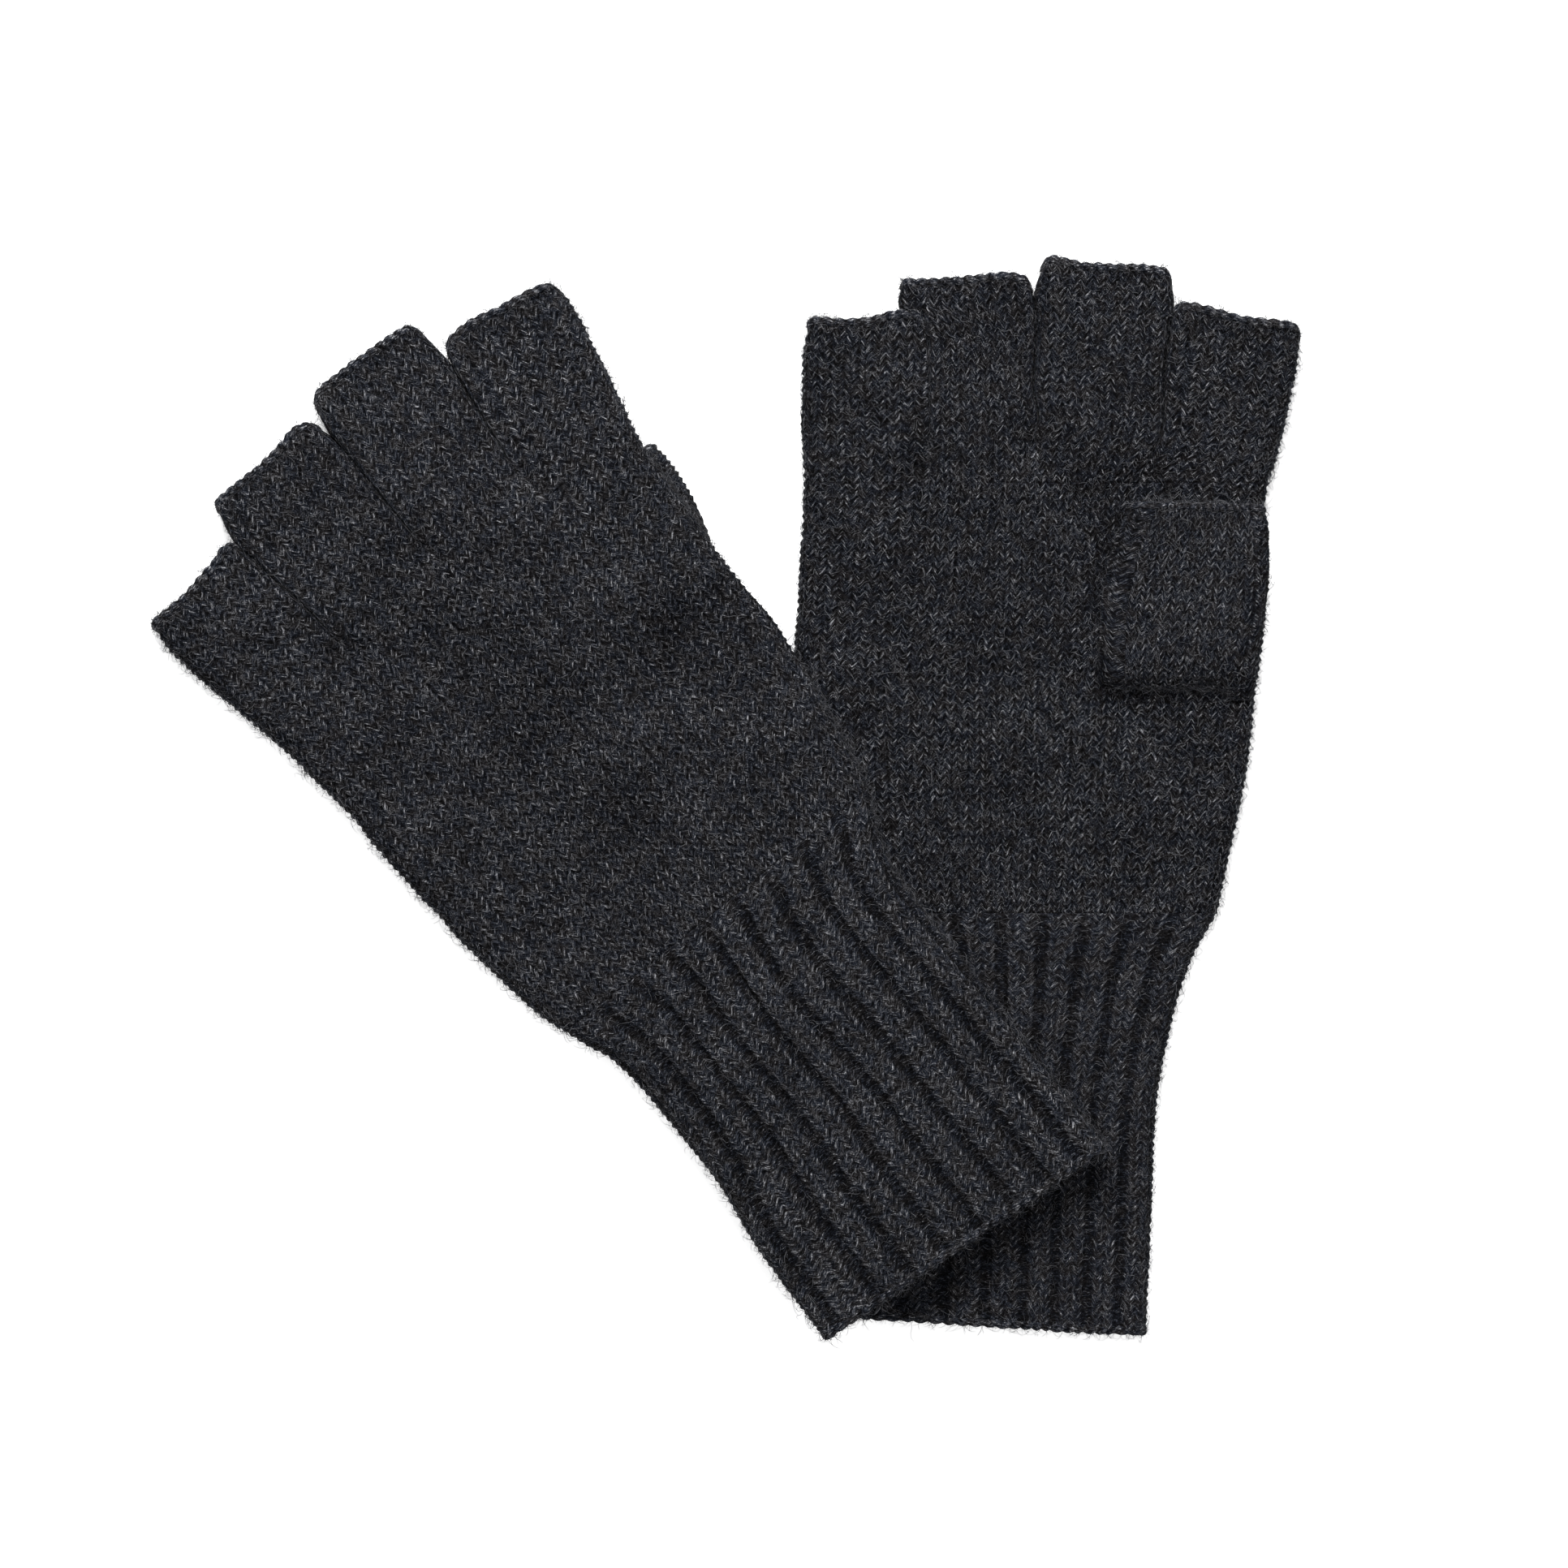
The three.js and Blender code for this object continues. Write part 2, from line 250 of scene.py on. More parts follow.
def macro(side, u, v):
    """How far the upper face sinks below level: folds, soft hollows at the forks, and unevenness."""
    d = np.zeros_like(u * 1.0)
    for cu, cv in GLOVE[side]["forks"]:
        below = np.where(v < cv, np.exp(-(((cv - v) / 5.5) ** 2)), smooth((cv + 9 - v) / 9))
        d = d + 1.1 * np.exp(-(((u - cu) / 2.1) ** 2)) * below
        d = d + 1.0 * bump(u, v, cu - 1.5, cv - 3.5, 6.0, 4.5)
    if side == "right":
        d = d + 0.9 * bump(u, v, 37, 65.5, 5.0, 4.5) + 1.1 * bump(u, v, 75.5, 61.5, 8.0, 3.6, 25)
        d = d + 0.5 * bump(u, v, 70.5, 44.0, 2.6, 16.0, -5)
        d = d + 0.45 * bump(u, v, 58, 33.0, 30.0, 2.4, 3)
    else:
        d = d + 0.8 * bump(u, v, -11, 81.5, 6.5, 3.0) + 0.9 * bump(u, v, -55.5, 77.0, 6.0, 3.4)
        across = smooth((u + 26) / 18)
        d = d + 3.3 * smooth((46 - v) / 13) * (1 - smooth((29 - v) / 30)) * across
        d = d - 0.5 * bump(u, v, -2, 49, 14.0, 4.5)
    d = d + 0.28 * vnoise(u / 13.0 + 9, v / 15.0 + 5, 11) + 0.12 * vnoise(u / 5.1 + 3, v / 5.7 + 8, 12)
    return d


def painted_hollow_shade(side, u, v):
    """Painted shade: how much darker the colour is made in hollows at the forks and beside folds, where shadow falls.
    """
    if side == "right":
        return (0.13 * bump(u, v, 36.6, 65.0, 5.5, 3.6) + 0.09 * bump(u, v, 68.0, 68.5, 4.5, 6.0)
                + 0.13 * bump(u, v, 84.0, 67.0, 9.0, 4.2) + 0.14 * bump(u, v, 78.6, 47.0, 3.6, 20.0, -4)
                + 0.10 * bump(u, v, 80.0, 24.5, 4.5, 3.0) + 0.03 * bump(u, v, 55.0, 45.0, 16.0, 22.0))
    return (0.16 * bump(u, v, 6.0, 38.5, 15.0, 6.0, -36) + 0.07 * bump(u, v, -22.0, 46.5, 7.0, 4.0, -20)
            + 0.08 * bump(u, v, -52.5, 75.0, 6.0, 3.5) + 0.07 * bump(u, v, -9.0, 83.0, 5.0, 4.0))


# ------------------------------------------------------------------ stitches
def knit_depth(w, y, seed=3, amp=0.62, kappa=1.0):
    """Depth of plain knit below its highest points: two legs to a wale, meeting in a V. Also gives the painted shade
    of the stitch gaps, darkest where deepest, and the course phase.
    """
    x = (w + 0.05 * vnoise(w * 0.31, y * 0.45, seed)) % 1.0
    leg = np.abs(np.sin(2 * np.pi * x)) ** 0.75
    centre = 0.5 * np.exp(-(((x - 0.5) / 0.09) ** 2))
    across = 0.26 + 0.74 * np.maximum(leg, centre)
    phase = y + 0.12 * vnoise(w * 0.55, y * 0.23, seed + 1) - kappa * np.abs(2 * x - 1)
    m = 0.5 + 0.5 * np.cos(2 * np.pi * phase)
    h = across * (0.12 + 0.88 * m ** 0.8) * (1 + 0.28 * vnoise(w * 1.3, y * 1.1, seed + 2))
    return amp * (1 - np.clip(h, 0, 1.12)), 1 - np.clip(h, 0, 1), phase


def rib_depth(r, y, pitch, fade, seed=5, deep=1.1):
    """Depth of rib below its ridges: ridges of two knit wales, deep narrow grooves of purl between."""
    f = r % 1.0
    e = np.minimum(f, 1 - f) * pitch
    ridge = smooth((e - 0.10) / 1.7) * (0.86 + 0.14 * np.sin(np.pi * f))
    groove = (1 - ridge) * (deep + 0.25 * vnoise(r * 0.7 + 2, y * 0.12, seed + 9)) * fade
    g = 0.13
    w = np.clip((f - g) / (1 - 2 * g), 0, 1) * 2 + np.floor(r) * 2
    k, cav, phase = knit_depth(w, y, seed, amp=0.60)
    # painted shade: the gaps' shade, made darker in the purl grooves
    return groove + k * (0.35 + 0.65 * ridge), np.clip(cav * 0.9 + (1 - ridge) * 0.19 * fade, 0, 1), phase


# ------------------------------------------------------------------ mesh making
class Build:
    def __init__(self):
        self.v, self.t, self.c, self.faces, self.nv, self.nt = [], [], [], [], 0, 0

    def verts(self, P, cav=None):
        P = np.asarray(P, float)
        n = int(np.prod(P.shape[:-1]))
        ids = np.arange(self.nv, self.nv + n).reshape(P.shape[:-1])
        self.v.append(P.reshape(-1, 3))
        self.c.append(np.full(n, 0.5) if cav is None else np.asarray(cav, float).reshape(-1))
        self.nv += n
        return ids

    def uvs(self, U, V, Y=None):
        U, V, Y = np.broadcast_arrays(np.asarray(U, float), np.asarray(V, float), np.asarray(V if Y is None else Y, float))
        ids = np.arange(self.nt, self.nt + U.size).reshape(U.shape)
        self.t.append(np.stack([U, V, Y], -1).reshape(-1, 3))
        self.nt += U.size
        return ids

    def add(self, vid, tid, is_smooth=True):
        self.faces.append((np.asarray(vid), np.asarray(tid), is_smooth))

    def grid(self, V, T, mask=None):
        q = lambda G: np.stack([G[:-1, :-1], G[:-1, 1:], G[1:, 1:], G[1:, :-1]], -1)
        a, b = q(V), q(T)
        if mask is not None:
            a, b = a[mask], b[mask]
        self.add(a.reshape(-1, 4), b.reshape(-1, 4))

    def volume(self):
        P = np.concatenate(self.v)
        total = 0.0
        for vid, _, _ in self.faces:
            a = P[vid[:, 0]]
            for k in range(1, vid.shape[1] - 1):
                total += np.einsum("ij,ij->i", a, np.cross(P[vid[:, k]], P[vid[:, k + 1]])).sum()
        return total

    def mesh(self, name, side):
        flip = self.volume() < 0
        P, T, C = world(side, np.concatenate(self.v)), np.concatenate(self.t), np.concatenate(self.c)
        loops, uvloops, starts, smooths, at = [], [], [], [], 0
        for vid, tid, sm in self.faces:
            if flip:
                vid, tid = vid[:, ::-1], tid[:, ::-1]
            n, k = vid.shape
            loops.append(vid.reshape(-1))
            uvloops.append(tid.reshape(-1))
            starts.append(at + k * np.arange(n))
            smooths.append(np.full(n, sm))
            at += n * k
        me = bpy.data.meshes.new(name)
        me.vertices.add(len(P))
        me.vertices.foreach_set("co", P.astype(np.float32).reshape(-1))
        loops = np.concatenate(loops)
        me.loops.add(len(loops))
        me.loops.foreach_set("vertex_index", loops.astype(np.int32))
        starts = np.concatenate(starts)
        me.polygons.add(len(starts))
        me.polygons.foreach_set("loop_start", starts.astype(np.int32))
        me.polygons.foreach_set("use_smooth", np.concatenate(smooths))
        T = T[np.concatenate(uvloops)].astype(np.float32)
        uv = me.uv_layers.new(name="knit")
        uv.data.foreach_set("uv", np.ascontiguousarray(T[:, :2]).reshape(-1))
        uv = me.uv_layers.new(name="yarn")
        uv.data.foreach_set("uv", np.ascontiguousarray(T[:, ::2]).reshape(-1))
        me.uv_layers.active = me.uv_layers["knit"]
        at_ = me.attributes.new("cav", "FLOAT", "POINT")
        at_.data.foreach_set("value", C.astype(np.float32))
        me.update(calc_edges=True)
        me.validate()
        ob = bpy.data.objects.new(name, me)
        bpy.context.scene.collection.objects.link(ob)
        return ob


def normals(G):
    du = np.gradient(G, axis=1)
    dv = np.gradient(G, axis=0)
    n = np.cross(du, dv)
    return n / np.maximum(np.linalg.norm(n, axis=-1, keepdims=True), 1e-9)


def quarter(a, b):
    return np.pi / 4 * (3 * (a + b) - np.sqrt((3 * a + b) * (a + 3 * b)))


def front_path(W, rl, rr, half, out_l, out_r, t):
    """Across the upper face by arc length. Returns x in mm from the left edge and q, the height from -1 to 1."""
    al = quarter(rl, half) if out_l else np.zeros_like(W)
    ar = quarter(rr, half) if out_r else np.zeros_like(W)
    flat = W - rl - rr
    l = t[None, :] * (al + flat + ar)[:, None]
    al, ar, flat, rl, rr, W = (x[:, None] for x in (al, ar, flat, rl, rr, W))
    a = np.clip(l / np.maximum(al, 1e-9), 0, 1) * np.pi / 2
    b = np.clip((l - al - flat) / np.maximum(ar, 1e-9), 0, 1) * np.pi / 2
    x = np.where(l < al, rl * (1 - np.cos(a)), np.where(l < al + flat, rl + l - al, W - rr + rr * np.sin(b)))
    q = np.where(l < al, np.sin(a), np.where(l <= al + flat + 1e-9, 1.0, np.cos(b)))
    return x, q


def back_path(W, rl, rr, half, out_l, out_r, t, n_side):
    """The rest of the ring: right side wall, under face from right to left, left side wall."""
    xs, qs = [], []
    a = np.linspace(np.pi / 2, -np.pi / 2, n_side + 1)
    if not out_r:
        xs.append((W - rr)[:, None] + rr[:, None] * np.cos(a)[None, :-1])
        qs.append(np.broadcast_to(np.sin(a)[None, :-1], xs[-1].shape))
    x, q = front_path(W, rl, rr, half, out_l, out_r, t)
    xs.append(x[:, ::-1])
    qs.append(-q[:, ::-1])
    if not out_l:
        b = a[::-1]
        xs.append(rl[:, None] - rl[:, None] * np.cos(b)[None, 1:])
        qs.append(np.broadcast_to(np.sin(b)[None, 1:], xs[-1].shape))
    return np.concatenate(xs, 1), np.concatenate(qs, 1)


def shell(B, front, fw, fy, back, bw, by, inner, depth, hole=None, rims=(True, True), qs=None, seam=0.5, side=None):
    """Puts a closed tube wall together. front (4n+1 rows), back (2n+1 rows, shares its end columns with the
    front), inner (n+1 rows, a closed ring). depth(w, y) gives the stitches' depth and shade."""
    nf = normals(front)
    d, cav, yarn = depth(fw, fy)
    nb = normals(back)
    db, cb, yarn_b = depth(bw, by)
    if qs is not None:
        # loops along the folded sides
        sign = np.sign(np.mean(d)) or 1.0
        for dd, q, y in ((d, qs[0], fy), (db, qs[1], by)):
            g = np.exp(-(q / 0.5) ** 2) * (np.abs(q) < 0.999)
            loop = 0.5 - 0.5 * np.cos(2 * np.pi * y + 1.6 * vnoise(y * 0.37, y * 0 + 4.5, 61))
            size = seam * (1 + 0.45 * vnoise(y * 0.8, y * 0 + 1.5, 62))
            dd += g * (sign * (0.06 + size * loop) - 0.85 * dd)
    F = front - nf * d[..., None]
    # painted shade: darkening painted into the colour at the forks and beside folds, added to the gap shade
    if side:
        cav = cav + painted_hollow_shade(side, front[..., 0], front[..., 1])
    vf = B.verts(F, cav)
    tf = B.uvs(fw * WALE, fy * COURSE, yarn * COURSE)
    Bk = back - nb * db[..., None]
    vb = np.empty(back.shape[:2], int)
    vb[:, 1:-1] = B.verts(Bk[:, 1:-1], cb[:, 1:-1])
    vb[:, 0], vb[:, -1] = vf[::2, -1], vf[::2, 0]
    tb = B.uvs(bw * WALE, by * COURSE, yarn_b * COURSE)
    kf = (front.shape[1] - 1) // 4
    kb = (back.shape[1] - 1) // 2
    ring = inner.shape[1]
    assert ring == kf + kb, (ring, kf, kb)
    n = inner.shape[0] - 1
    assert front.shape[0] == 4 * n + 1 and back.shape[0] == 2 * n + 1
    mf = np.ones((4 * n, 4 * kf), bool)
    mb = np.ones((2 * n, 2 * kb), bool)
    mi = np.ones((n, ring), bool)
    if hole:
        r0, r1, k0, k1 = hole
        mi[r0:r1, k0:k1] = False
        if k0 < kf:
            mf[4 * r0:4 * r1, 4 * k0:4 * k1] = False
        else:
            mb[2 * r0:2 * r1, 2 * (k0 - kf):2 * (k1 - kf)] = False
    B.grid(vf, tf, mf)
    m2 = mb.copy()
    m2[:, 0] = m2[:, -1] = False
    B.grid(vb, tb, m2)
    mid_r, mid_l = vf[1::2, -1], vf[1::2, 0]
    tmid_r = B.uvs((bw[:-1, 0] + bw[1:, 0]) / 2 * WALE, (by[:-1, 0] + by[1:, 0]) / 2 * COURSE)
    tmid_l = B.uvs((bw[:-1, -1] + bw[1:, -1]) / 2 * WALE, (by[:-1, -1] + by[1:, -1]) / 2 * COURSE)
    B.add(np.stack([vb[:-1, 0], vb[:-1, 1], vb[1:, 1], vb[1:, 0], mid_r], -1),
          np.stack([tb[:-1, 0], tb[:-1, 1], tb[1:, 1], tb[1:, 0], tmid_r], -1))
    B.add(np.stack([vb[:-1, -2], vb[:-1, -1], mid_l, vb[1:, -1], vb[1:, -2]], -1),
          np.stack([tb[:-1, -2], tb[:-1, -1], tmid_l, tb[1:, -1], tb[1:, -2]], -1))
    vi = B.verts(inner)
    wi = np.arange(ring + 1) * 0.5
    ti = B.uvs(np.broadcast_to(wi * WALE + 400, (n + 1, ring + 1)), np.broadcast_to(fy[::4, :1] * COURSE, (n + 1, ring + 1)))
    vic = np.concatenate([vi, vi[:, :1]], 1)
    q = lambda G: np.stack([G[:-1, :-1], G[1:, :-1], G[1:, 1:], G[:-1, 1:]], -1)
    B.add(q(vic)[mi].reshape(-1, 4), q(ti)[mi].reshape(-1, 4))

    def outer_run(r, k):
        """Outer vertices along row r (in courses) over inner column k, left to right in ring order."""
        if k < kf:
            return vf[4 * r, 4 * k:4 * k + 5], tf[4 * r, 4 * k:4 * k + 5]
        k -= kf
        return vb[2 * r, 2 * k:2 * k + 3], tb[2 * r, 2 * k:2 * k + 3]

    def rim(r, k, up):
        o, t = outer_run(r, k)
        a, b = vic[r, k], vic[r, k + 1]
        f = list(o) + [b, a]
        g = list(t) + [ti[r, k + 1], ti[r, k]]
        if not up:
            f, g = f[::-1], g[::-1]
        B.add([f], [g], False)

    for r, want, up in ((0, rims[0], False), (n, rims[1], True)):
        if want:
            for k in range(ring):
                rim(r, k, up)
    if hole:
        for k in range(k0, k1):
            rim(r0, k, True)
            rim(r1, k, False)
        for r in range(r0, r1):
            for k, left in ((k0, True), (k1, False)):
                if k0 < kf:
                    o, t = vf[4 * r:4 * r + 5, 4 * k], tf[4 * r:4 * r + 5, 4 * k]
                else:
                    j = 2 * (k - kf)
                    o, t = vb[2 * r:2 * r + 3, j], tb[2 * r:2 * r + 3, j]
                f = list(o) + [vic[r + 1, k], vic[r, k]]
                g = list(t) + [ti[r + 1, k], ti[r, k]]
                if left:
                    f, g = f[::-1], g[::-1]
                B.add([f], [g], False)
    return F, nf, Bk, nb


PIECES = {}        # name -> (object, outer points, their outward directions) for the loose fibres
SURFACE = {}       # name -> list of (points, normals) in layout millimetres


def keep_surface(name, *pairs):
    SURFACE[name] = [(P.reshape(-1, 3), N.reshape(-1, 3)) for P, N in pairs]


# ------------------------------------------------------------------ hand
def make_hand(side):
    g = GLOVE[side]
    vs = [r[1] for r in g["hand"]]
    pl, pr = pchip(vs, [r[0] for r in g["hand"]]), pchip(vs, [r[2] for r in g["hand"]])
    uL, uR = lambda v: pl(v) + trim(side, 0, v), lambda v: pr(v) + trim(side, 1, v)
    v0, v1 = g["wrist"], g["join"]
    n = int(round((v1 - v0) / COURSE))
    total = uR(v1) - uL(v1)
    top = [(b - uL(v1)) / total for b in g["bounds"]]

    def bounds_at(v):
        k = smooth((v - (v1 - 40)) / 40)
        L, R = uL(v), uR(v)
        return [L] + [L + (R - L) * ((j + 1) / 4 + (top[j] - (j + 1) / 4) * k) for j in range(3)] + [R]

    def ring(v, cols_per_wale, upper):
        """u and q over the whole upper (or under) face, left to right."""
        b = bounds_at(v)
        us, qs = [], []
        t = np.linspace(0, 1, 10 * cols_per_wale + 1)
        for j in range(4):
            W = b[j + 1] - b[j]
            zero = np.zeros_like(W)
            side_r = zero + 4.5
            x, q = front_path(W, side_r if j == 0 else zero, side_r if j == 3 else zero, zero + HAND_HALF,
                              j == 0, j == 3, t)
            keep = slice(None) if j == 0 else slice(1, None)
            us.append((b[j][:, None] + x)[:, keep])
            qs.append(q[:, keep])
        u, q = np.concatenate(us, 1), np.concatenate(qs, 1)
        return (u, q) if upper else (u[:, ::-1], -q[:, ::-1])

    def lift(u, v, q, inset=0.0):
        V = np.broadcast_to(v[:, None], u.shape)
        H = drape(side, u, V)
        half = HAND_HALF
        z = H + half + q * (half - inset)
        z = z - macro(side, u, V) * smooth(q)
        return np.stack([u, V, z], -1)

    vf = np.linspace(v0, v1, 4 * n + 1)
    vb, vi = vf[::2], vf[::4]
    uf, qf = ring(vf, FRONT_COLS, True)
    ub, qb = ring(vb, BACK_COLS, False)
    front, back = lift(uf, vf, qf), lift(ub, vb, qb)
    ui, qi = ring(vi, 2, True)
    uj, qj = ring(vi, 2, False)
    ui, qi = np.concatenate([ui[:, :-1], uj[:, :-1]], 1), np.concatenate([qi[:, :-1], qj[:, :-1]], 1)
    L, R = uL(vi)[:, None], uR(vi)[:, None]
    mid, hw = (L + R) / 2, (R - L) / 2
    ui = mid + (ui - mid) * (hw - WALL) / hw
    inner = lift(ui, vi, qi, WALL)
    cf = np.linspace(0, 40, front.shape[1])
    cb = np.linspace(40, 80, back.shape[1])
    yf = (vf - v1) / COURSE * (n * COURSE / (v1 - v0))
    fw, fy = np.broadcast_arrays(cf[None, :], yf[:, None])
    bw, by = np.broadcast_arrays(cb[None, :], yf[::2][:, None])
    # the hole at the root of the thumb
    if side == "right":
        r0, r1 = int((23.9 - v0) / COURSE) + 1, int((28.6 - v0) / COURSE)
        k0, k1 = [int(round(float(np.interp(x, uf[4 * r0], cf)) * 2)) for x in (79.5, 102.0)]
    else:
        r0, r1 = int((33.2 - v0) / COURSE) + 1, int((40.2 - v0) / COURSE)
        k = [int(round(float(np.interp(-x, -ub[2 * r0], cb)) * 2)) for x in (12.0, -9.0)]
        k0, k1 = k
    B = Build()
    F, nf, Bk, nb = shell(B, front, fw, fy, back, bw, by, inner, lambda w, y: knit_depth(w, y), (r0, r1, k0, k1),
                          qs=(qf, qb), side=side)
    ob = B.mesh(f"{side}_hand_knit", side)
    keep_surface(f"{side}_hand", (F, nf), (Bk, nb))
    return ob


# ------------------------------------------------------------------ fingers
class Finger:
    def __init__(self, side, name):
        self.side, self.name, self.i = side, name, FINGERS.index(name)
        g, f = GLOVE[side], GLOVE[side]["fingers"][name]
        self.v0 = g["join"]

        def curve(name_, k):
            P = g["fingers"][name_]["LR"[k]]
            return pchip([p[1] for p in P], [p[0] for p in P]), P[-1][1]

        def edge(name_, k):
            """One long edge; where two fingers part, each swells towards the other."""
            f_, top = curve(name_, k)
            i = FINGERS.index(name_) + (1 if k else -1)
            if not 0 <= i < 4:
                return lambda v: f_(v) + trim(side, k, v)
            other, other_top = curve(FINGERS[i], 1 - k)

            def grown(v):
                gap = np.maximum((other(v) - f_(v)) * (1 if k else -1), 0)
                gap = np.where(v > other_top - 1.0, 3.0, gap)
                grow = 0.45 * np.minimum(gap, 2.0) + 0.42
                return f_(v) + grow * (1 if k else -1) * smooth((v - self.v0) / 3)
            return grown

        self.L, self.R = edge(name, 0), edge(name, 1)
        T = np.array(f["T"])
        T[:, 1] += TIP_OUT[side].get(name, 1.15)
        self.vL, self.vR = T[0, 1], T[-1, 1]
        c = (T[:, 0] - T[0, 0]) / (T[-1, 0] - T[0, 0])
        self.tip_v = pchip(c, T[:, 1])
        self.length = (self.vL + self.vR) / 2 - self.v0 + 1.0
        self.out_l, self.out_r = name == "little", name == "index"
        forks = g["forks"]
        self.fork_l = None if self.out_l else forks[self.i - 1][1]
        self.fork_r = None if self.out_r else forks[self.i][1]
        hand = {r[1]: r for r in g["hand"]}
        vs = sorted(hand)
        if self.out_l:
            base = float(pchip(vs, [hand[v][0] for v in vs])(self.v0)) + float(trim(side, 0, self.v0))
            shift_l = base - float(self.L(self.v0))
            old = self.L
            self.L = lambda v: old(v) + shift_l * (1 - smooth((v - self.v0) / 10))
        if self.out_r:
            base = float(pchip(vs, [hand[v][2] for v in vs])(self.v0)) + float(trim(side, 1, self.v0))
            shift_r = base - float(self.R(self.v0))
            old_r = self.R
            self.R = lambda v: old_r(v) + shift_r * (1 - smooth((v - self.v0) / 10))
        if not self.out_l:
            b = g["bounds"][self.i - 1]
            s_l = b - float(self.L(self.v0))
            o_l = self.L
            self.L = lambda v: o_l(v) + s_l * (1 - smooth((v - self.v0) / 6))
        if not self.out_r:
            b = g["bounds"][self.i]
            s_r = b - float(self.R(self.v0))
            o_r = self.R
            self.R = lambda v: o_r(v) + s_r * (1 - smooth((v - self.v0) / 6))

    def edges(self, s):
        vl, vr = self.v0 + s * (self.vL - self.v0), self.v0 + s * (self.vR - self.v0)
        return self.L(vl), vl, self.R(vr), vr

    def rows(self, s):
        ul, vl, ur, vr = self.edges(s)
        W = ur - ul

        def rx(fork, out, v):
            if out:
                return 4.5 - 0.6 * smooth((v - self.v0) / 20)
            soft = 0.3 if (self.side == "right" and abs(fork - 70.5) < 0.1) else 0.55
            return 0.02 + soft * (1.6 * smooth((v - max(fork - 3.5, self.v0)) / 8) + 1.3 * smooth((v - fork - 5) / 20))

        half = HAND_HALF + (FINGER_HALF - HAND_HALF) * smooth((vl - self.v0) / 9) \
            + (TIP_HALF - FINGER_HALF) * smooth((s - 0.5) / 0.5)
        return W, rx(self.fork_l, self.out_l, vl), rx(self.fork_r, self.out_r, vr), half

    def place(self, x, q, s, inset=0.0):
        """x (rows, cols) mm from the left edge, q from -1 to 1, s (rows,)."""
        ul, vl, ur, vr = self.edges(s)
        W = (ur - ul)[:, None]
        half = self.rows(s)[3][:, None]
        c = x / W
        if inset:
            c = 0.5 + (c - 0.5) * (W - 2 * inset) / W
        u = ul[:, None] * (1 - c) + ur[:, None] * c
        v = vl[:, None] * (1 - c) + vr[:, None] * c
        bow = self.tip_v(c) - (self.vL * (1 - c) + self.vR * c)
        v = v + bow * (s[:, None] ** 3)
        H = drape(self.side, u, v)
        z = H + HAND_HALF * (1 - smooth(s[:, None] * 3)) + half * smooth(s[:, None] * 3) + q * (half - inset)
        z = z - macro(self.side, u, v) * smooth(q) * (1 - 0.6 * smooth((v - self.v0) / 20))
        return np.stack([u, v, z], -1)


def make_finger(side, name):
    f = Finger(side, name)
    n = int(round(f.length / COURSE))
    end = 1 - 1.15 / f.length
    s = np.linspace(0, end, 4 * n + 1)
    t_f, t_b = np.linspace(0, 1, 10 * FRONT_COLS + 1), np.linspace(0, 1, 10 * BACK_COLS + 1)
    t_i = np.linspace(0, 1, 21)
    W, rl, rr, half = f.rows(s)
    x, q = front_path(W, rl, rr, half, f.out_l, f.out_r, t_f)
    front = f.place(x, q, s)
    sb = s[::2]
    W, rl, rr, half = f.rows(sb)
    xb, qb = back_path(W, rl, rr, half, f.out_l, f.out_r, t_b, 12)
    back = f.place(xb, qb, sb)
    si = s[::4]
    W, rl, rr, half = f.rows(si)
    xi, qi = front_path(W, rl, rr, half, f.out_l, f.out_r, t_i)
    xj, qj = back_path(W, rl, rr, half, f.out_l, f.out_r, t_i, 6)
    xi, qi = np.concatenate([xi[:, :-1], xj[:, :-1]], 1), np.concatenate([qi[:, :-1], qj[:, :-1]], 1)
    inner = f.place(xi, qi, si, WALL)
    cf = f.i * 10 + np.linspace(0, 10, front.shape[1])
    cb = 40 + (3 - f.i) * 16 + np.linspace(0, (back.shape[1] - 1) / 4, back.shape[1])
    yf = np.linspace(0, n * end, 4 * n + 1) * 1.0
    fw, fy = np.broadcast_arrays(cf[None, :], yf[:, None])
    bw, by = np.broadcast_arrays(cb[None, :], yf[::2][:, None])
    B = Build()
    wall_cols = np.zeros(back.shape[1])
    if not f.out_r:
        wall_cols[:13] = 1
    if not f.out_l:
        wall_cols[-13:] = 1

    def depth(w, y):
        d, cav, yarn = knit_depth(w, y)
        if d.shape == back.shape[:2]:
            d = d * (1 - 0.7 * wall_cols[None, :])
        return d, cav, yarn

    part = smooth((f.edges(s)[1] - f.v0 - 12) / 8)[:, None]
    qf2, qb2 = np.where(np.abs(q) < 1, q, 9.0), np.where(wall_cols[None, :] > 0, 9.0 - (9.0 - qb) * part[::2], qb)
    F, nf, Bk, nb = shell(B, front, fw, fy, back, bw, by, inner, depth, qs=(qf2, qb2), side=side)
    ob = B.mesh(f"{side}_{name}_knit", side)
    keep_surface(f"{side}_{name}", (F, nf), (Bk, nb))
    return ob, f


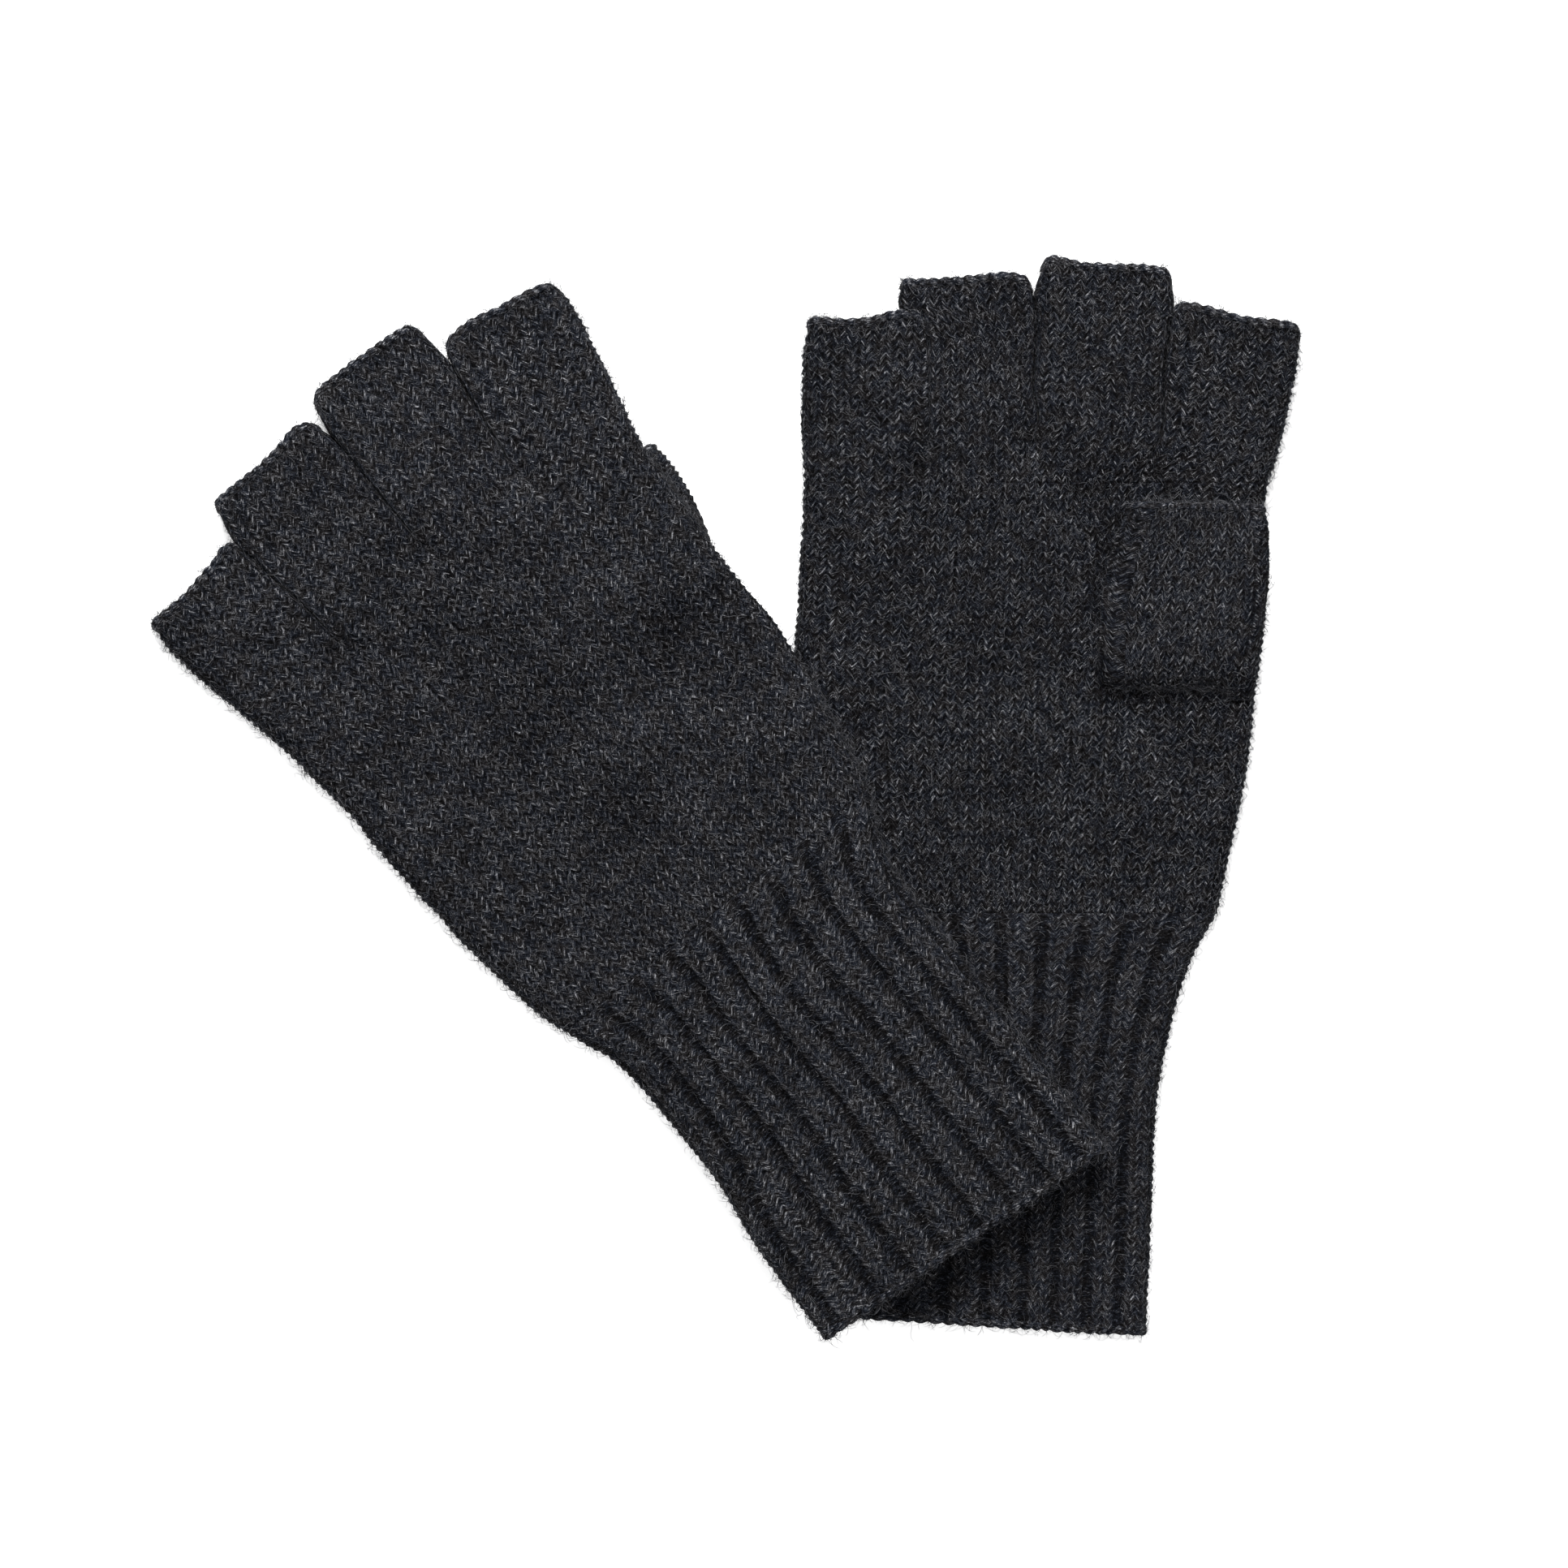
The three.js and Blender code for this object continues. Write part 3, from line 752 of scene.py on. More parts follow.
def cord_ring(name, side, outer, inner, ahead, wale_at, along_r, thick_r, seed):
    """A closed cord of bind-off loops round an open end. outer and inner are rings of points, ahead the direction
    out of the end at each, wale_at the stitch count round the ring."""
    n = outer - inner
    n = n / np.linalg.norm(n, axis=-1, keepdims=True)
    ahead = ahead / np.linalg.norm(ahead, axis=-1, keepdims=True)
    centre = (outer + inner) / 2
    M = 14
    psi = np.linspace(0, 2 * np.pi, M, endpoint=False)
    w = wale_at[:, None]
    ph = psi[None, :]
    loops = np.abs(np.sin(np.pi * (w + 0.28 * np.cos(ph)))) ** 0.7
    r = 0.72 + 0.34 * loops + 0.07 * vnoise(w * 1.7 + 3, ph * 1.3, seed)
    shift = 0.20 * (loops - 0.5) + 0.14 * vnoise(w * 0.35 + 7, w * 0 + 2.5, seed + 1) + 0.10 * vnoise(w * 1.1, w * 0 + 6.5, seed + 2)
    P = (centre[:, None] + ahead[:, None] * (np.cos(ph) * r * along_r + shift)[..., None]
         + n[:, None] * (np.sin(ph) * r * thick_r)[..., None])
    P[..., 2] = np.maximum(P[..., 2], 0.02)
    B = Build()
    # painted shade: darker between the bind-off loops
    cav = np.broadcast_to(1 - loops, P.shape[:2]) * 0.9
    V = B.verts(P, cav)
    Vc = np.concatenate([V, V[:1]], 0)
    Vc = np.concatenate([Vc, Vc[:, :1]], 1)
    T = B.uvs((np.append(wale_at, wale_at[-1] + (wale_at[1] - wale_at[0])) * WALE)[:, None],
              (np.linspace(0, 4.5, M + 1) + seed)[None, :])
    B.grid(Vc, T)
    ob = B.mesh(name, side)
    N = n[:, None] * np.sin(ph)[..., None] + ahead[:, None] * np.cos(ph)[..., None]
    return ob, P, N


def finger_edge(f):
    s_mid = np.array([1 - 0.95 / f.length])
    ds = 0.5 / f.length
    t = np.linspace(0, 1, 10 * 6 + 1)

    def ring(s, inset):
        W, rl, rr, half = f.rows(s)
        x, q = front_path(W, rl, rr, half, f.out_l, f.out_r, t)
        xb, qb = back_path(W, rl, rr, half, f.out_l, f.out_r, t, 18)
        x, q = np.concatenate([x[:, :-1], xb[:, :-1]], 1), np.concatenate([q[:, :-1], qb[:, :-1]], 1)
        return f.place(x, q, s, inset)[0]

    outer, inner = ring(s_mid, 0.0), ring(s_mid, WALL)
    ahead = ring(s_mid + ds, WALL / 2) - ring(s_mid - ds, WALL / 2)
    w = np.arange(len(outer)) / 6.0
    wales = round(w[-1] + w[1])
    w = w * wales / (w[-1] + w[1])
    ob, P, N = cord_ring(f"{f.side}_{f.name}_bind_off", f.side, outer, inner, ahead, w, 0.95, 0.95, 30 + f.i)
    SURFACE[f"{f.side}_{f.name}"].append((P.reshape(-1, 3), N.reshape(-1, 3)))
    return ob


# ------------------------------------------------------------------ cuffs
GROOVES = {
    # distance across the cuff, from the little-finger edge, of the eight grooves of the upper face, by v
    "left": {-11.4: [.112, .225, .338, .446, .553, .662, .775, .888],
             -38.6: [.1035, .208, .313, .425, .530, .654, .778, .876],
             -61.7: [.068, .211, .322, .443, .554, .666, .792, .891],
             -78.2: [.055, .207, .317, .4375, .558, .673, .793, .906]},
    "right": {-23.6: [.107, .219, .331, .442, .553, .664, .775, .888],
              -60.0: [.112, .235, .355, .475, .590, .690, .795, .895],
              -109.0: [.120, .250, .380, .505, .622, .712, .812, .905]},
}


class Cuff:
    def __init__(self, side):
        self.side = side
        rows = GLOVE[side]["cuff"]
        L = np.array([[r[0] + float(trim(side, 0, r[1])), r[1]] for r in rows])
        R = np.array([[r[2] + float(trim(side, 1, r[3])), r[3]] for r in rows])
        run = np.concatenate([[0], np.cumsum(np.linalg.norm(np.diff((L + R) / 2, axis=0), axis=1))])
        self.length = run[-1]
        s = run / run[-1]
        self.ul, self.vl, self.ur, self.vr = pchip(s, L[:, 0]), pchip(s, L[:, 1]), pchip(s, R[:, 0]), pchip(s, R[:, 1])
        table = GROOVES[side]
        vs = sorted(table)
        self.groove = [pchip(vs, [table[v][k] for v in vs]) for k in range(8)]

    def path(self, s, per_rib, upper):
        ul, vl, ur, vr = self.ul(s), self.vl(s), self.ur(s), self.vr(s)
        W = ur - ul
        rx = np.full_like(W, 4.5)
        half = np.full_like(W, CUFF_HALF)
        arc = quarter(rx, half)
        total = 2 * arc + W - 2 * rx
        t = np.empty((len(s), 9 * per_rib + 1))
        rho = np.empty_like(t)
        a = np.linspace(0, np.pi / 2, 40)
        for i in range(len(s)):
            gx = np.array([g(vl[i]) for g in self.groove]) * W[i]
            xs = np.concatenate([rx[i] * (1 - np.cos(a)), W[i] - rx[i] + rx[i] * np.sin(a)])
            ls = np.concatenate([arc[i] * a / (np.pi / 2), arc[i] + W[i] - 2 * rx[i] + arc[i] * a / (np.pi / 2)])
            A = np.interp(gx, xs, ls)
            p = (A[-1] - A[0]) / 7
            first, last = 1 - A[0] / p, 8 + (total[i] - A[-1]) / p
            rho[i] = np.linspace(first, last, 9 * per_rib + 1)
            if upper:
                t[i] = np.interp(rho[i], np.concatenate([[first], np.arange(1, 9), [last]]),
                                 np.concatenate([[0], A, [total[i]]])) / total[i]
            else:
                t[i] = np.linspace(0, 1, 9 * per_rib + 1)
                rho[i] = np.linspace(last, first + 18, 9 * per_rib + 1)
        l = t * total[:, None]
        al, flat, R_, W_ = arc[:, None], (W - 2 * rx)[:, None], rx[:, None], W[:, None]
        aa = np.clip(l / al, 0, 1) * np.pi / 2
        bb = np.clip((l - al - flat) / al, 0, 1) * np.pi / 2
        x = np.where(l < al, R_ * (1 - np.cos(aa)), np.where(l < al + flat, R_ + l - al, W_ - R_ + R_ * np.sin(bb)))
        q = np.where(l < al, np.sin(aa), np.where(l <= al + flat + 1e-9, 1.0, np.cos(bb)))
        return (x, q, rho) if upper else (x[:, ::-1], -q[:, ::-1], rho)

    def place(self, x, q, s, inset=0.0):
        ul, vl, ur, vr = self.ul(s)[:, None], self.vl(s)[:, None], self.ur(s)[:, None], self.vr(s)[:, None]
        W = ur - ul
        c = x / W
        if np.any(inset):
            c = 0.5 + (c - 0.5) * (W - 2 * inset) / W
        u, v = ul * (1 - c) + ur * c, vl * (1 - c) + vr * c
        H = drape(self.side, u, v)
        half = HAND_HALF + (CUFF_HALF - HAND_HALF) * smooth(s[:, None] * 8)
        z = H + half + q * (half - inset)
        z = z - (0.25 * vnoise(u / 16.0 + 4, v / 18.0 + 6, 13)
                 + macro(self.side, u, v) * (1 - smooth(s[:, None] * self.length / 10))) * smooth(q)
        return np.stack([u, v, z], -1)


def cuff_fade(y):
    return smooth((y * COURSE - 0.2) / 7.0)


def make_cuff(side):
    c = Cuff(side)
    n = int(round(c.length / COURSE))
    end = 1 - 1.0 / c.length
    s = np.linspace(0, end, 4 * n + 1)
    PER_F, PER_B = 20, 10
    x, q, rf = c.path(s, PER_F, True)
    front = c.place(x, q, s)
    sb = s[::2]
    xb, qb, rb = c.path(sb, PER_B, False)
    back = c.place(xb, qb, sb)
    si = s[::4]
    xi, qi, _ = c.path(si, 5, True)
    xj, qj, _ = c.path(si, 5, False)
    xi, qi = np.concatenate([xi[:, :-1], xj[:, :-1]], 1), np.concatenate([qi[:, :-1], qj[:, :-1]], 1)
    wall = (WALL + (CUFF_WALL + 0.25 - WALL) * smooth(si * c.length / 6))[:, None]
    inner = c.place(xi, qi, si, wall)
    yf = np.linspace(0, n * 1.0, 4 * n + 1)
    fw, fy = np.broadcast_arrays(rf, yf[:, None])
    bw, by = np.broadcast_arrays(rb, yf[::2][:, None])
    pitch = 7.6
    B = Build()

    def depth(r, y):
        d, cav, yarn = rib_depth(r, -y, pitch, cuff_fade(y), 5, 1.1 if side == "left" else 0.8)
        return -d, cav, yarn

    F, nf, Bk, nb = shell(B, front, fw, fy, back, bw, by, inner, depth, qs=(q, qb), seam=0.4)
    # the fibre pattern runs in millimetres, with ribs counted as 2.6 wales
    for T in B.t:
        T[:, 0] = np.where(T[:, 0] < 400, T[:, 0] * 3.15, T[:, 0])
    ob = B.mesh(f"{side}_cuff_rib", side)
    sign = -1
    keep_surface(f"{side}_cuff", (F, nf * sign), (Bk, nb * sign))
    return ob, c


def cuff_edge(c):
    s_mid = np.array([1 - 0.95 / c.length])
    ds = 0.5 / c.length

    def ring(s, inset):
        x, q, r = c.path(s, 16, True)
        xb, qb, rb = c.path(s, 16, False)
        x, q = np.concatenate([x[:, :-1], xb[:, :-1]], 1), np.concatenate([q[:, :-1], qb[:, :-1]], 1)
        return c.place(x, q, s, inset)[0], np.concatenate([r[:, :-1], rb[:, :-1]], 1)[0]

    (outer, r), (inner, _) = ring(s_mid, 0.0), ring(s_mid, CUFF_WALL)
    n = outer - inner
    n = n / np.linalg.norm(n, axis=-1, keepdims=True)
    f = r % 1.0
    e = np.minimum(f, 1 - f) * 7.6
    sink = (1 - smooth(e / 1.6)) * 1.1
    outer, inner = outer - n * sink[:, None], inner - n * sink[:, None] * 0.6
    ahead = ring(s_mid + ds, 0.8)[0] - ring(s_mid - ds, 0.8)[0]
    w = np.arange(len(outer)) / len(outer) * 56.0
    ob, P, N = cord_ring(f"{c.side}_cuff_cast_on", c.side, outer, inner, ahead, w, 0.95, 1.0, 41)
    SURFACE[f"{c.side}_cuff"].append((P.reshape(-1, 3), N.reshape(-1, 3)))
    return ob


# ------------------------------------------------------------------ thumbs
THUMB = {
    "right": {"rows": [[75.0, 20.0, 106.4], [75.08, 23.76, 106.59], [75.3, 30.0, 107.4], [75.41, 34.98, 108.24],
                       [76.4, 42.0, 109.0], [77.72, 48.18, 109.1], [80.0, 54.5, 108.9], [83.33, 60.2, 107.6]],
              "tip": (60.1, 59.1), "low": 9.15, "high": 15.0},
    "left": {"rows": [[-13.5, 30.0, 15.6], [-13.37, 36.47, 16.5], [-12.04, 43.89, 17.98], [-11.0, 50.5, 19.7],
                      [-9.57, 55.44, 20.8], [-7.8, 60.4, 21.5], [-5.3, 67.0, 21.75], [-3.47, 71.61, 20.9]],
             "tip": (71.6, 70.9), "low": 0.0, "high": 6.9},
}


class Thumb:
    """A tube that leaves the hand through a flat hole and turns to lie along it. q is 1 on the layer away from
    the hand at the fold (above for the right glove, beneath for the left), -1 on the layer next to the hand."""

    def __init__(self, side):
        self.side = side
        t = THUMB[side]
        vs = [r[1] for r in t["rows"]]
        pr = pchip(vs, [r[2] for r in t["rows"]])
        self.uL = pchip(vs, [r[0] for r in t["rows"]])
        self.uR = (lambda v: pr(v) + 1.2) if side == "right" else (lambda v: pr(v) + 1.6 * smooth((v - 38) / 10))
        self.tip = t["tip"]
        self.low, self.high = t["low"], t["high"]
        self.rad = 9.0 if side == "right" else 5.2
        self.toe = 21.7 if side == "right" else 32.0
        self.root = 28.9 if side == "right" else 41.0
        self.run = (self.tip[0] + self.tip[1]) / 2 - self.toe
        h = self.high - self.low
        self.arc = float(quarter(np.array(self.rad), np.array(h)))
        self.length = self.arc + self.run - self.rad

    def layer(self, s, c):
        """v and height (0 to 1 of the thickness) of the outer layer."""
        gentle = smooth((c - 0.72) / 0.28) if self.side == "right" else np.zeros_like(c)
        l = s * self.length
        a = np.clip(l / self.arc, 0, 1) * np.pi / 2
        v = np.where(l < self.arc, self.toe + self.rad * (1 - np.cos(a)), self.toe + self.rad + l - self.arc)
        h = np.where(l < self.arc, np.sin(a), 1.0)
        v = v - 3.0 * gentle * (1 - smooth(l / 14))
        h = h * (1 - 0.35 * gentle * (1 - smooth(l / 18)))
        return v, h

    def rows(self, s):
        v, _ = self.layer(s, np.full_like(s, 0.5))
        W = self.uR(v) - self.uL(v)
        half = np.full_like(W, (self.high - self.low) / 2)
        return W, 5.5 + 0 * W, (3.4 if self.side == "right" else 1.6) + 0 * W, half

    def place(self, x, q, s, inset=0.0):
        s2 = s[:, None]
        W0 = self.rows(s)[0][:, None]
        c = x / W0
        v_o, h_o = self.layer(s2 + 0 * c, c)
        tip = self.tip[0] * (1 - c) + self.tip[1] * c
        mean = (self.tip[0] + self.tip[1]) / 2
        v_i = self.root + s2 * (mean - self.root) + 0 * c
        k = (q + 1) / 2
        v = v_i + (v_o - v_i) * k + (tip - mean) * s2 ** 3
        L, R = self.uL(v_o), self.uR(v_o)
        if np.any(inset):
            c = 0.5 + (c - 0.5) * (1 - 2 * inset / (R - L))
        u = L + (R - L) * c
        thick = self.high - self.low
        h = h_o * k * thick
        if np.any(inset):
            top = np.maximum(h_o * thick, 0.4)
            h = np.clip(h, 0, None)
            h = inset + (h / top) * (top - 2 * inset)
            h = np.where(top < 2 * inset + 0.3, top / 2 + (k - 0.5) * 0.3, h)
        if self.side == "right":
            # the palm rises a little towards the stub's outer corner and the tip settles
            z = self.low + h - 0.9 * smooth((s2 - 0.62) / 0.38) * k
            z = z + 0.25 * vnoise(u / 9.0, v / 8.0, 21) * k
        else:
            H = drape("left", u, v)
            room = np.minimum(self.high, H - 0.1)
            z = room - h * (room / thick)
        return np.stack([u, v, z], -1)


def make_thumb(side):
    f = Thumb(side)
    n = int(round(f.length / COURSE))
    end = 1 - 1.15 / f.length
    s = np.linspace(0, end, 4 * n + 1)
    nw = 12
    t_f, t_b, t_i = (np.linspace(0, 1, nw * k + 1) for k in (FRONT_COLS, BACK_COLS, 2))
    x, q = front_path(*f.rows(s), False, False, t_f)
    front = f.place(x, q, s)
    sb = s[::2]
    xb, qb = back_path(*f.rows(sb), False, False, t_b, 12 if side == "right" else 6)
    back = f.place(xb, qb, sb)
    si = s[::4]
    xi, qi = front_path(*f.rows(si), False, False, t_i)
    xj, qj = back_path(*f.rows(si), False, False, t_i, 6 if side == "right" else 3)
    xi, qi = np.concatenate([xi[:, :-1], xj[:, :-1]], 1), np.concatenate([qi[:, :-1], qj[:, :-1]], 1)
    inner = f.place(xi, qi, si, 1.1)
    cf = 150 + np.linspace(0, nw, front.shape[1])
    cb = 150 + nw + np.linspace(0, (back.shape[1] - 1) / 4, back.shape[1])
    yf = np.linspace(0, n * end, 4 * n + 1)
    fw, fy = np.broadcast_arrays(cf[None, :], yf[:, None])
    bw, by = np.broadcast_arrays(cb[None, :], yf[::2][:, None])
    sgn = 1 if side == "right" else -1
    # the stitches flatten where the stub rolls down to the palm, and their gap shade is evened out and set darker
    # there: painted shade along the roll
    roll = smooth((0.97 - q) / 0.3) * (np.arange(front.shape[1]) < front.shape[1] / 2) * (side == "right")

    def depth(w, y):
        d, cav, yarn = knit_depth(w, y)
        if d.shape == roll.shape:
            d, cav = d * (1 - 0.65 * roll), cav + (0.68 - cav) * 0.7 * roll
        return d * sgn * smooth((y + 0.3) / 1.0), cav, yarn

    B = Build()
    F, nf, Bk, nb = shell(B, front, fw, fy, back, bw, by, inner, depth)
    ob = B.mesh(f"{side}_thumb_knit", side)
    keep_surface(f"{side}_thumb", (F, nf * sgn), (Bk, nb * sgn))
    return ob, f


def thumb_edge(f):
    s_mid = np.array([1 - 0.95 / f.length])
    ds = 0.5 / f.length
    t = np.linspace(0, 1, 12 * 6 + 1)

    def ring(s, inset):
        x, q = front_path(*f.rows(s), False, False, t)
        xb, qb = back_path(*f.rows(s), False, False, t, 18 if f.side == "right" else 9)
        x, q = np.concatenate([x[:, :-1], xb[:, :-1]], 1), np.concatenate([q[:, :-1], qb[:, :-1]], 1)
        return f.place(x, q, s, inset)[0]

    outer, inner = ring(s_mid, 0.0), ring(s_mid, 1.1)
    ahead = ring(s_mid + ds, 0.55) - ring(s_mid - ds, 0.55)
    w = np.arange(len(outer)) / 6.0
    ob, P, N = cord_ring(f"{f.side}_thumb_bind_off", f.side, outer, inner, ahead, w, 0.9, 0.8, 37)
    SURFACE[f"{f.side}_thumb"].append((P.reshape(-1, 3), N.reshape(-1, 3)))
    return ob


# ------------------------------------------------------------------ loose fibres
def make_fibres(side, section, count, seed):
    """Stray wool fibres that stand off the knit: thin closed tapered tubes."""
    rng = np.random.default_rng(seed)
    groups = SURFACE[f"{side}_{section}"]
    P = np.concatenate([g[0] for g in groups])
    N = np.concatenate([g[1] for g in groups])
    # upper face and sides carry most of what is seen; keep a few beneath
    up = N[:, 2]
    wgt = np.where(up > 0.55, 1.0, np.where(up > -0.6, 5.0, 0.4))
    pick = rng.choice(len(P), size=count, p=wgt / wgt.sum())
    p, n = P[pick], N[pick]
    n = n / np.maximum(np.linalg.norm(n, axis=1, keepdims=True), 1e-9)
    r = rng.normal(size=(count, 3))
    tan = r - n * np.einsum("ij,ij->i", r, n)[:, None]
    tan /= np.linalg.norm(tan, axis=1, keepdims=True)
    bi = np.cross(n, tan)
    side_on = np.abs(n[:, 2]) < 0.75
    length = rng.gamma(4.0, 0.36, count) + 0.7
    length = np.where(side_on, length * 0.8, length * 0.9)
    rise = np.where(side_on, rng.uniform(0.05, 0.7, count), rng.uniform(0.05, 0.4, count)) * length
    # short where two sections pass close to each other
    close = np.zeros(count, bool)
    if section in FINGERS:
        close = np.abs(n[:, 0]) > 0.5
        if section == "little":
            close &= (n[:, 0] > 0) | (side == "right")
        if section == "index":
            close &= n[:, 0] < 0
    elif side == "right" and section == "hand":
        close = (n[:, 0] < -0.3) & (p[:, 1] > 15)
    elif side == "left" and section == "thumb":
        close = n[:, 2] < 0.6
    rise = np.minimum(rise, np.where(close, 0.35, 1.3))
    curl = rng.normal(0, 0.28, count) * length
    wob = rng.normal(0, 0.10, count) * length
    M = 6
    t = np.linspace(0, 1, M)[None, :, None]
    C = (p[:, None] - 0.25 * n[:, None]
         + tan[:, None] * (length[:, None, None] * t)
         + bi[:, None] * (curl[:, None, None] * t ** 2 + wob[:, None, None] * np.sin(2 * np.pi * t))
         + n[:, None] * (rise[:, None, None] * np.sin(np.pi * 0.62 * t) + 0.25 * t))
    C[..., 2] = np.maximum(C[..., 2], 0.06)
    rad = rng.uniform(0.026, 0.052, count)[:, None] * np.array([1.0, 1.0, 0.95, 0.85, 0.65, 0.35])[None, :]
    d = np.gradient(C, axis=1)
    d /= np.maximum(np.linalg.norm(d, axis=-1, keepdims=True), 1e-9)
    ref = np.where(np.abs(d[..., 2:3]) > 0.9, np.array([1.0, 0, 0]), np.array([0, 0, 1.0]))
    a = np.cross(d, ref)
    a /= np.maximum(np.linalg.norm(a, axis=-1, keepdims=True), 1e-9)
    b = np.cross(d, a)
    ang = np.array([0, 2 * np.pi / 3, 4 * np.pi / 3])
    ringpts = (C[:, :, None] + rad[:, :, None, None] * (a[:, :, None] * np.cos(ang)[None, None, :, None]
                                                        + b[:, :, None] * np.sin(ang)[None, None, :, None]))
    B = Build()
    V = B.verts(ringpts)                                     # count, M, 3
    tone = rng.random(count)
    T = B.uvs(np.broadcast_to(tone[:, None, None] * 60, V.shape), np.broadcast_to(np.linspace(0, 3, M)[None, :, None], V.shape))
    V4, T4 = np.concatenate([V, V[..., :1]], -1), np.concatenate([T, T[..., :1]], -1)
    q = lambda G: np.stack([G[:, :-1, :-1], G[:, :-1, 1:], G[:, 1:, 1:], G[:, 1:, :-1]], -1).reshape(-1, 4)
    B.add(q(V4), q(T4))
    B.add(V[:, 0, ::-1], T[:, 0, ::-1])
    B.add(V[:, -1], T[:, -1])
    B.c = [np.repeat(tone, M * 3)]
    return B.mesh(f"{side}_{section}_fibres", side)


# ------------------------------------------------------------------ materials
def new_material(name):
    m = bpy.data.materials.new(name)
    m.use_nodes = True
    nt = m.node_tree
    nt.nodes.clear()
    out = nt.nodes.new("ShaderNodeOutputMaterial")
    bsdf = nt.nodes.new("ShaderNodeBsdfPrincipled")
    nt.links.new(bsdf.outputs[0], out.inputs[0])
    return m, nt, bsdf


def math_node(nt, op, a, b=None, c=None, clamp=False):
    n = nt.nodes.new("ShaderNodeMath")
    n.operation = op
    n.use_clamp = clamp
    for i, x in enumerate((a, b, c)):
        if x is None:
            continue
        if isinstance(x, (int, float)):
            n.inputs[i].default_value = x
        else:
            nt.links.new(x, n.inputs[i])
    return n.outputs[0]


def noise(nt, vec, scale, detail=1.0, rough=0.5, dims="2D", distort=0.0):
    n = nt.nodes.new("ShaderNodeTexNoise")
    n.noise_dimensions = dims
    n.inputs["Scale"].default_value = scale
    n.inputs["Detail"].default_value = detail
    n.inputs["Roughness"].default_value = rough
    n.inputs["Distortion"].default_value = distort
    nt.links.new(vec, n.inputs["Vector"])
    return n.outputs[0]


def mapped(nt, vec, turn, sx, sy, shift=(0.0, 0.0)):
    n = nt.nodes.new("ShaderNodeMapping")
    n.vector_type = "POINT"
    n.inputs["Location"].default_value = (shift[0], shift[1], 0)
    n.inputs["Rotation"].default_value = (0, 0, math.radians(turn))
    n.inputs["Scale"].default_value = (1, 1, 1)
    nt.links.new(vec, n.inputs["Vector"])
    m = nt.nodes.new("ShaderNodeMapping")
    m.inputs["Scale"].default_value = (sx, sy, 1)
    nt.links.new(n.outputs[0], m.inputs["Vector"])
    return m.outputs[0]


def soft_step(nt, x, lo, hi):
    n = nt.nodes.new("ShaderNodeMapRange")
    n.interpolation_type = "SMOOTHSTEP"
    n.inputs["From Min"].default_value = lo
    n.inputs["From Max"].default_value = hi
    nt.links.new(x, n.inputs["Value"])
    return n.outputs[0]


def uv_node(nt, name):
    n = nt.nodes.new("ShaderNodeUVMap")
    n.uv_map = name
    return n.outputs[0]


def wobble(nt, vec, scale, amount):
    warp = nt.nodes.new("ShaderNodeTexNoise")
    warp.noise_dimensions = "2D"
    warp.inputs["Scale"].default_value = scale
    warp.inputs["Detail"].default_value = 1.0
    nt.links.new(vec, warp.inputs["Vector"])
    add = nt.nodes.new("ShaderNodeVectorMath")
    add.operation = "MULTIPLY_ADD"
    nt.links.new(warp.outputs[1], add.inputs[0])
    add.inputs[1].default_value = (amount, amount, 0)
    nt.links.new(vec, add.inputs[2])
    return add.outputs[0]


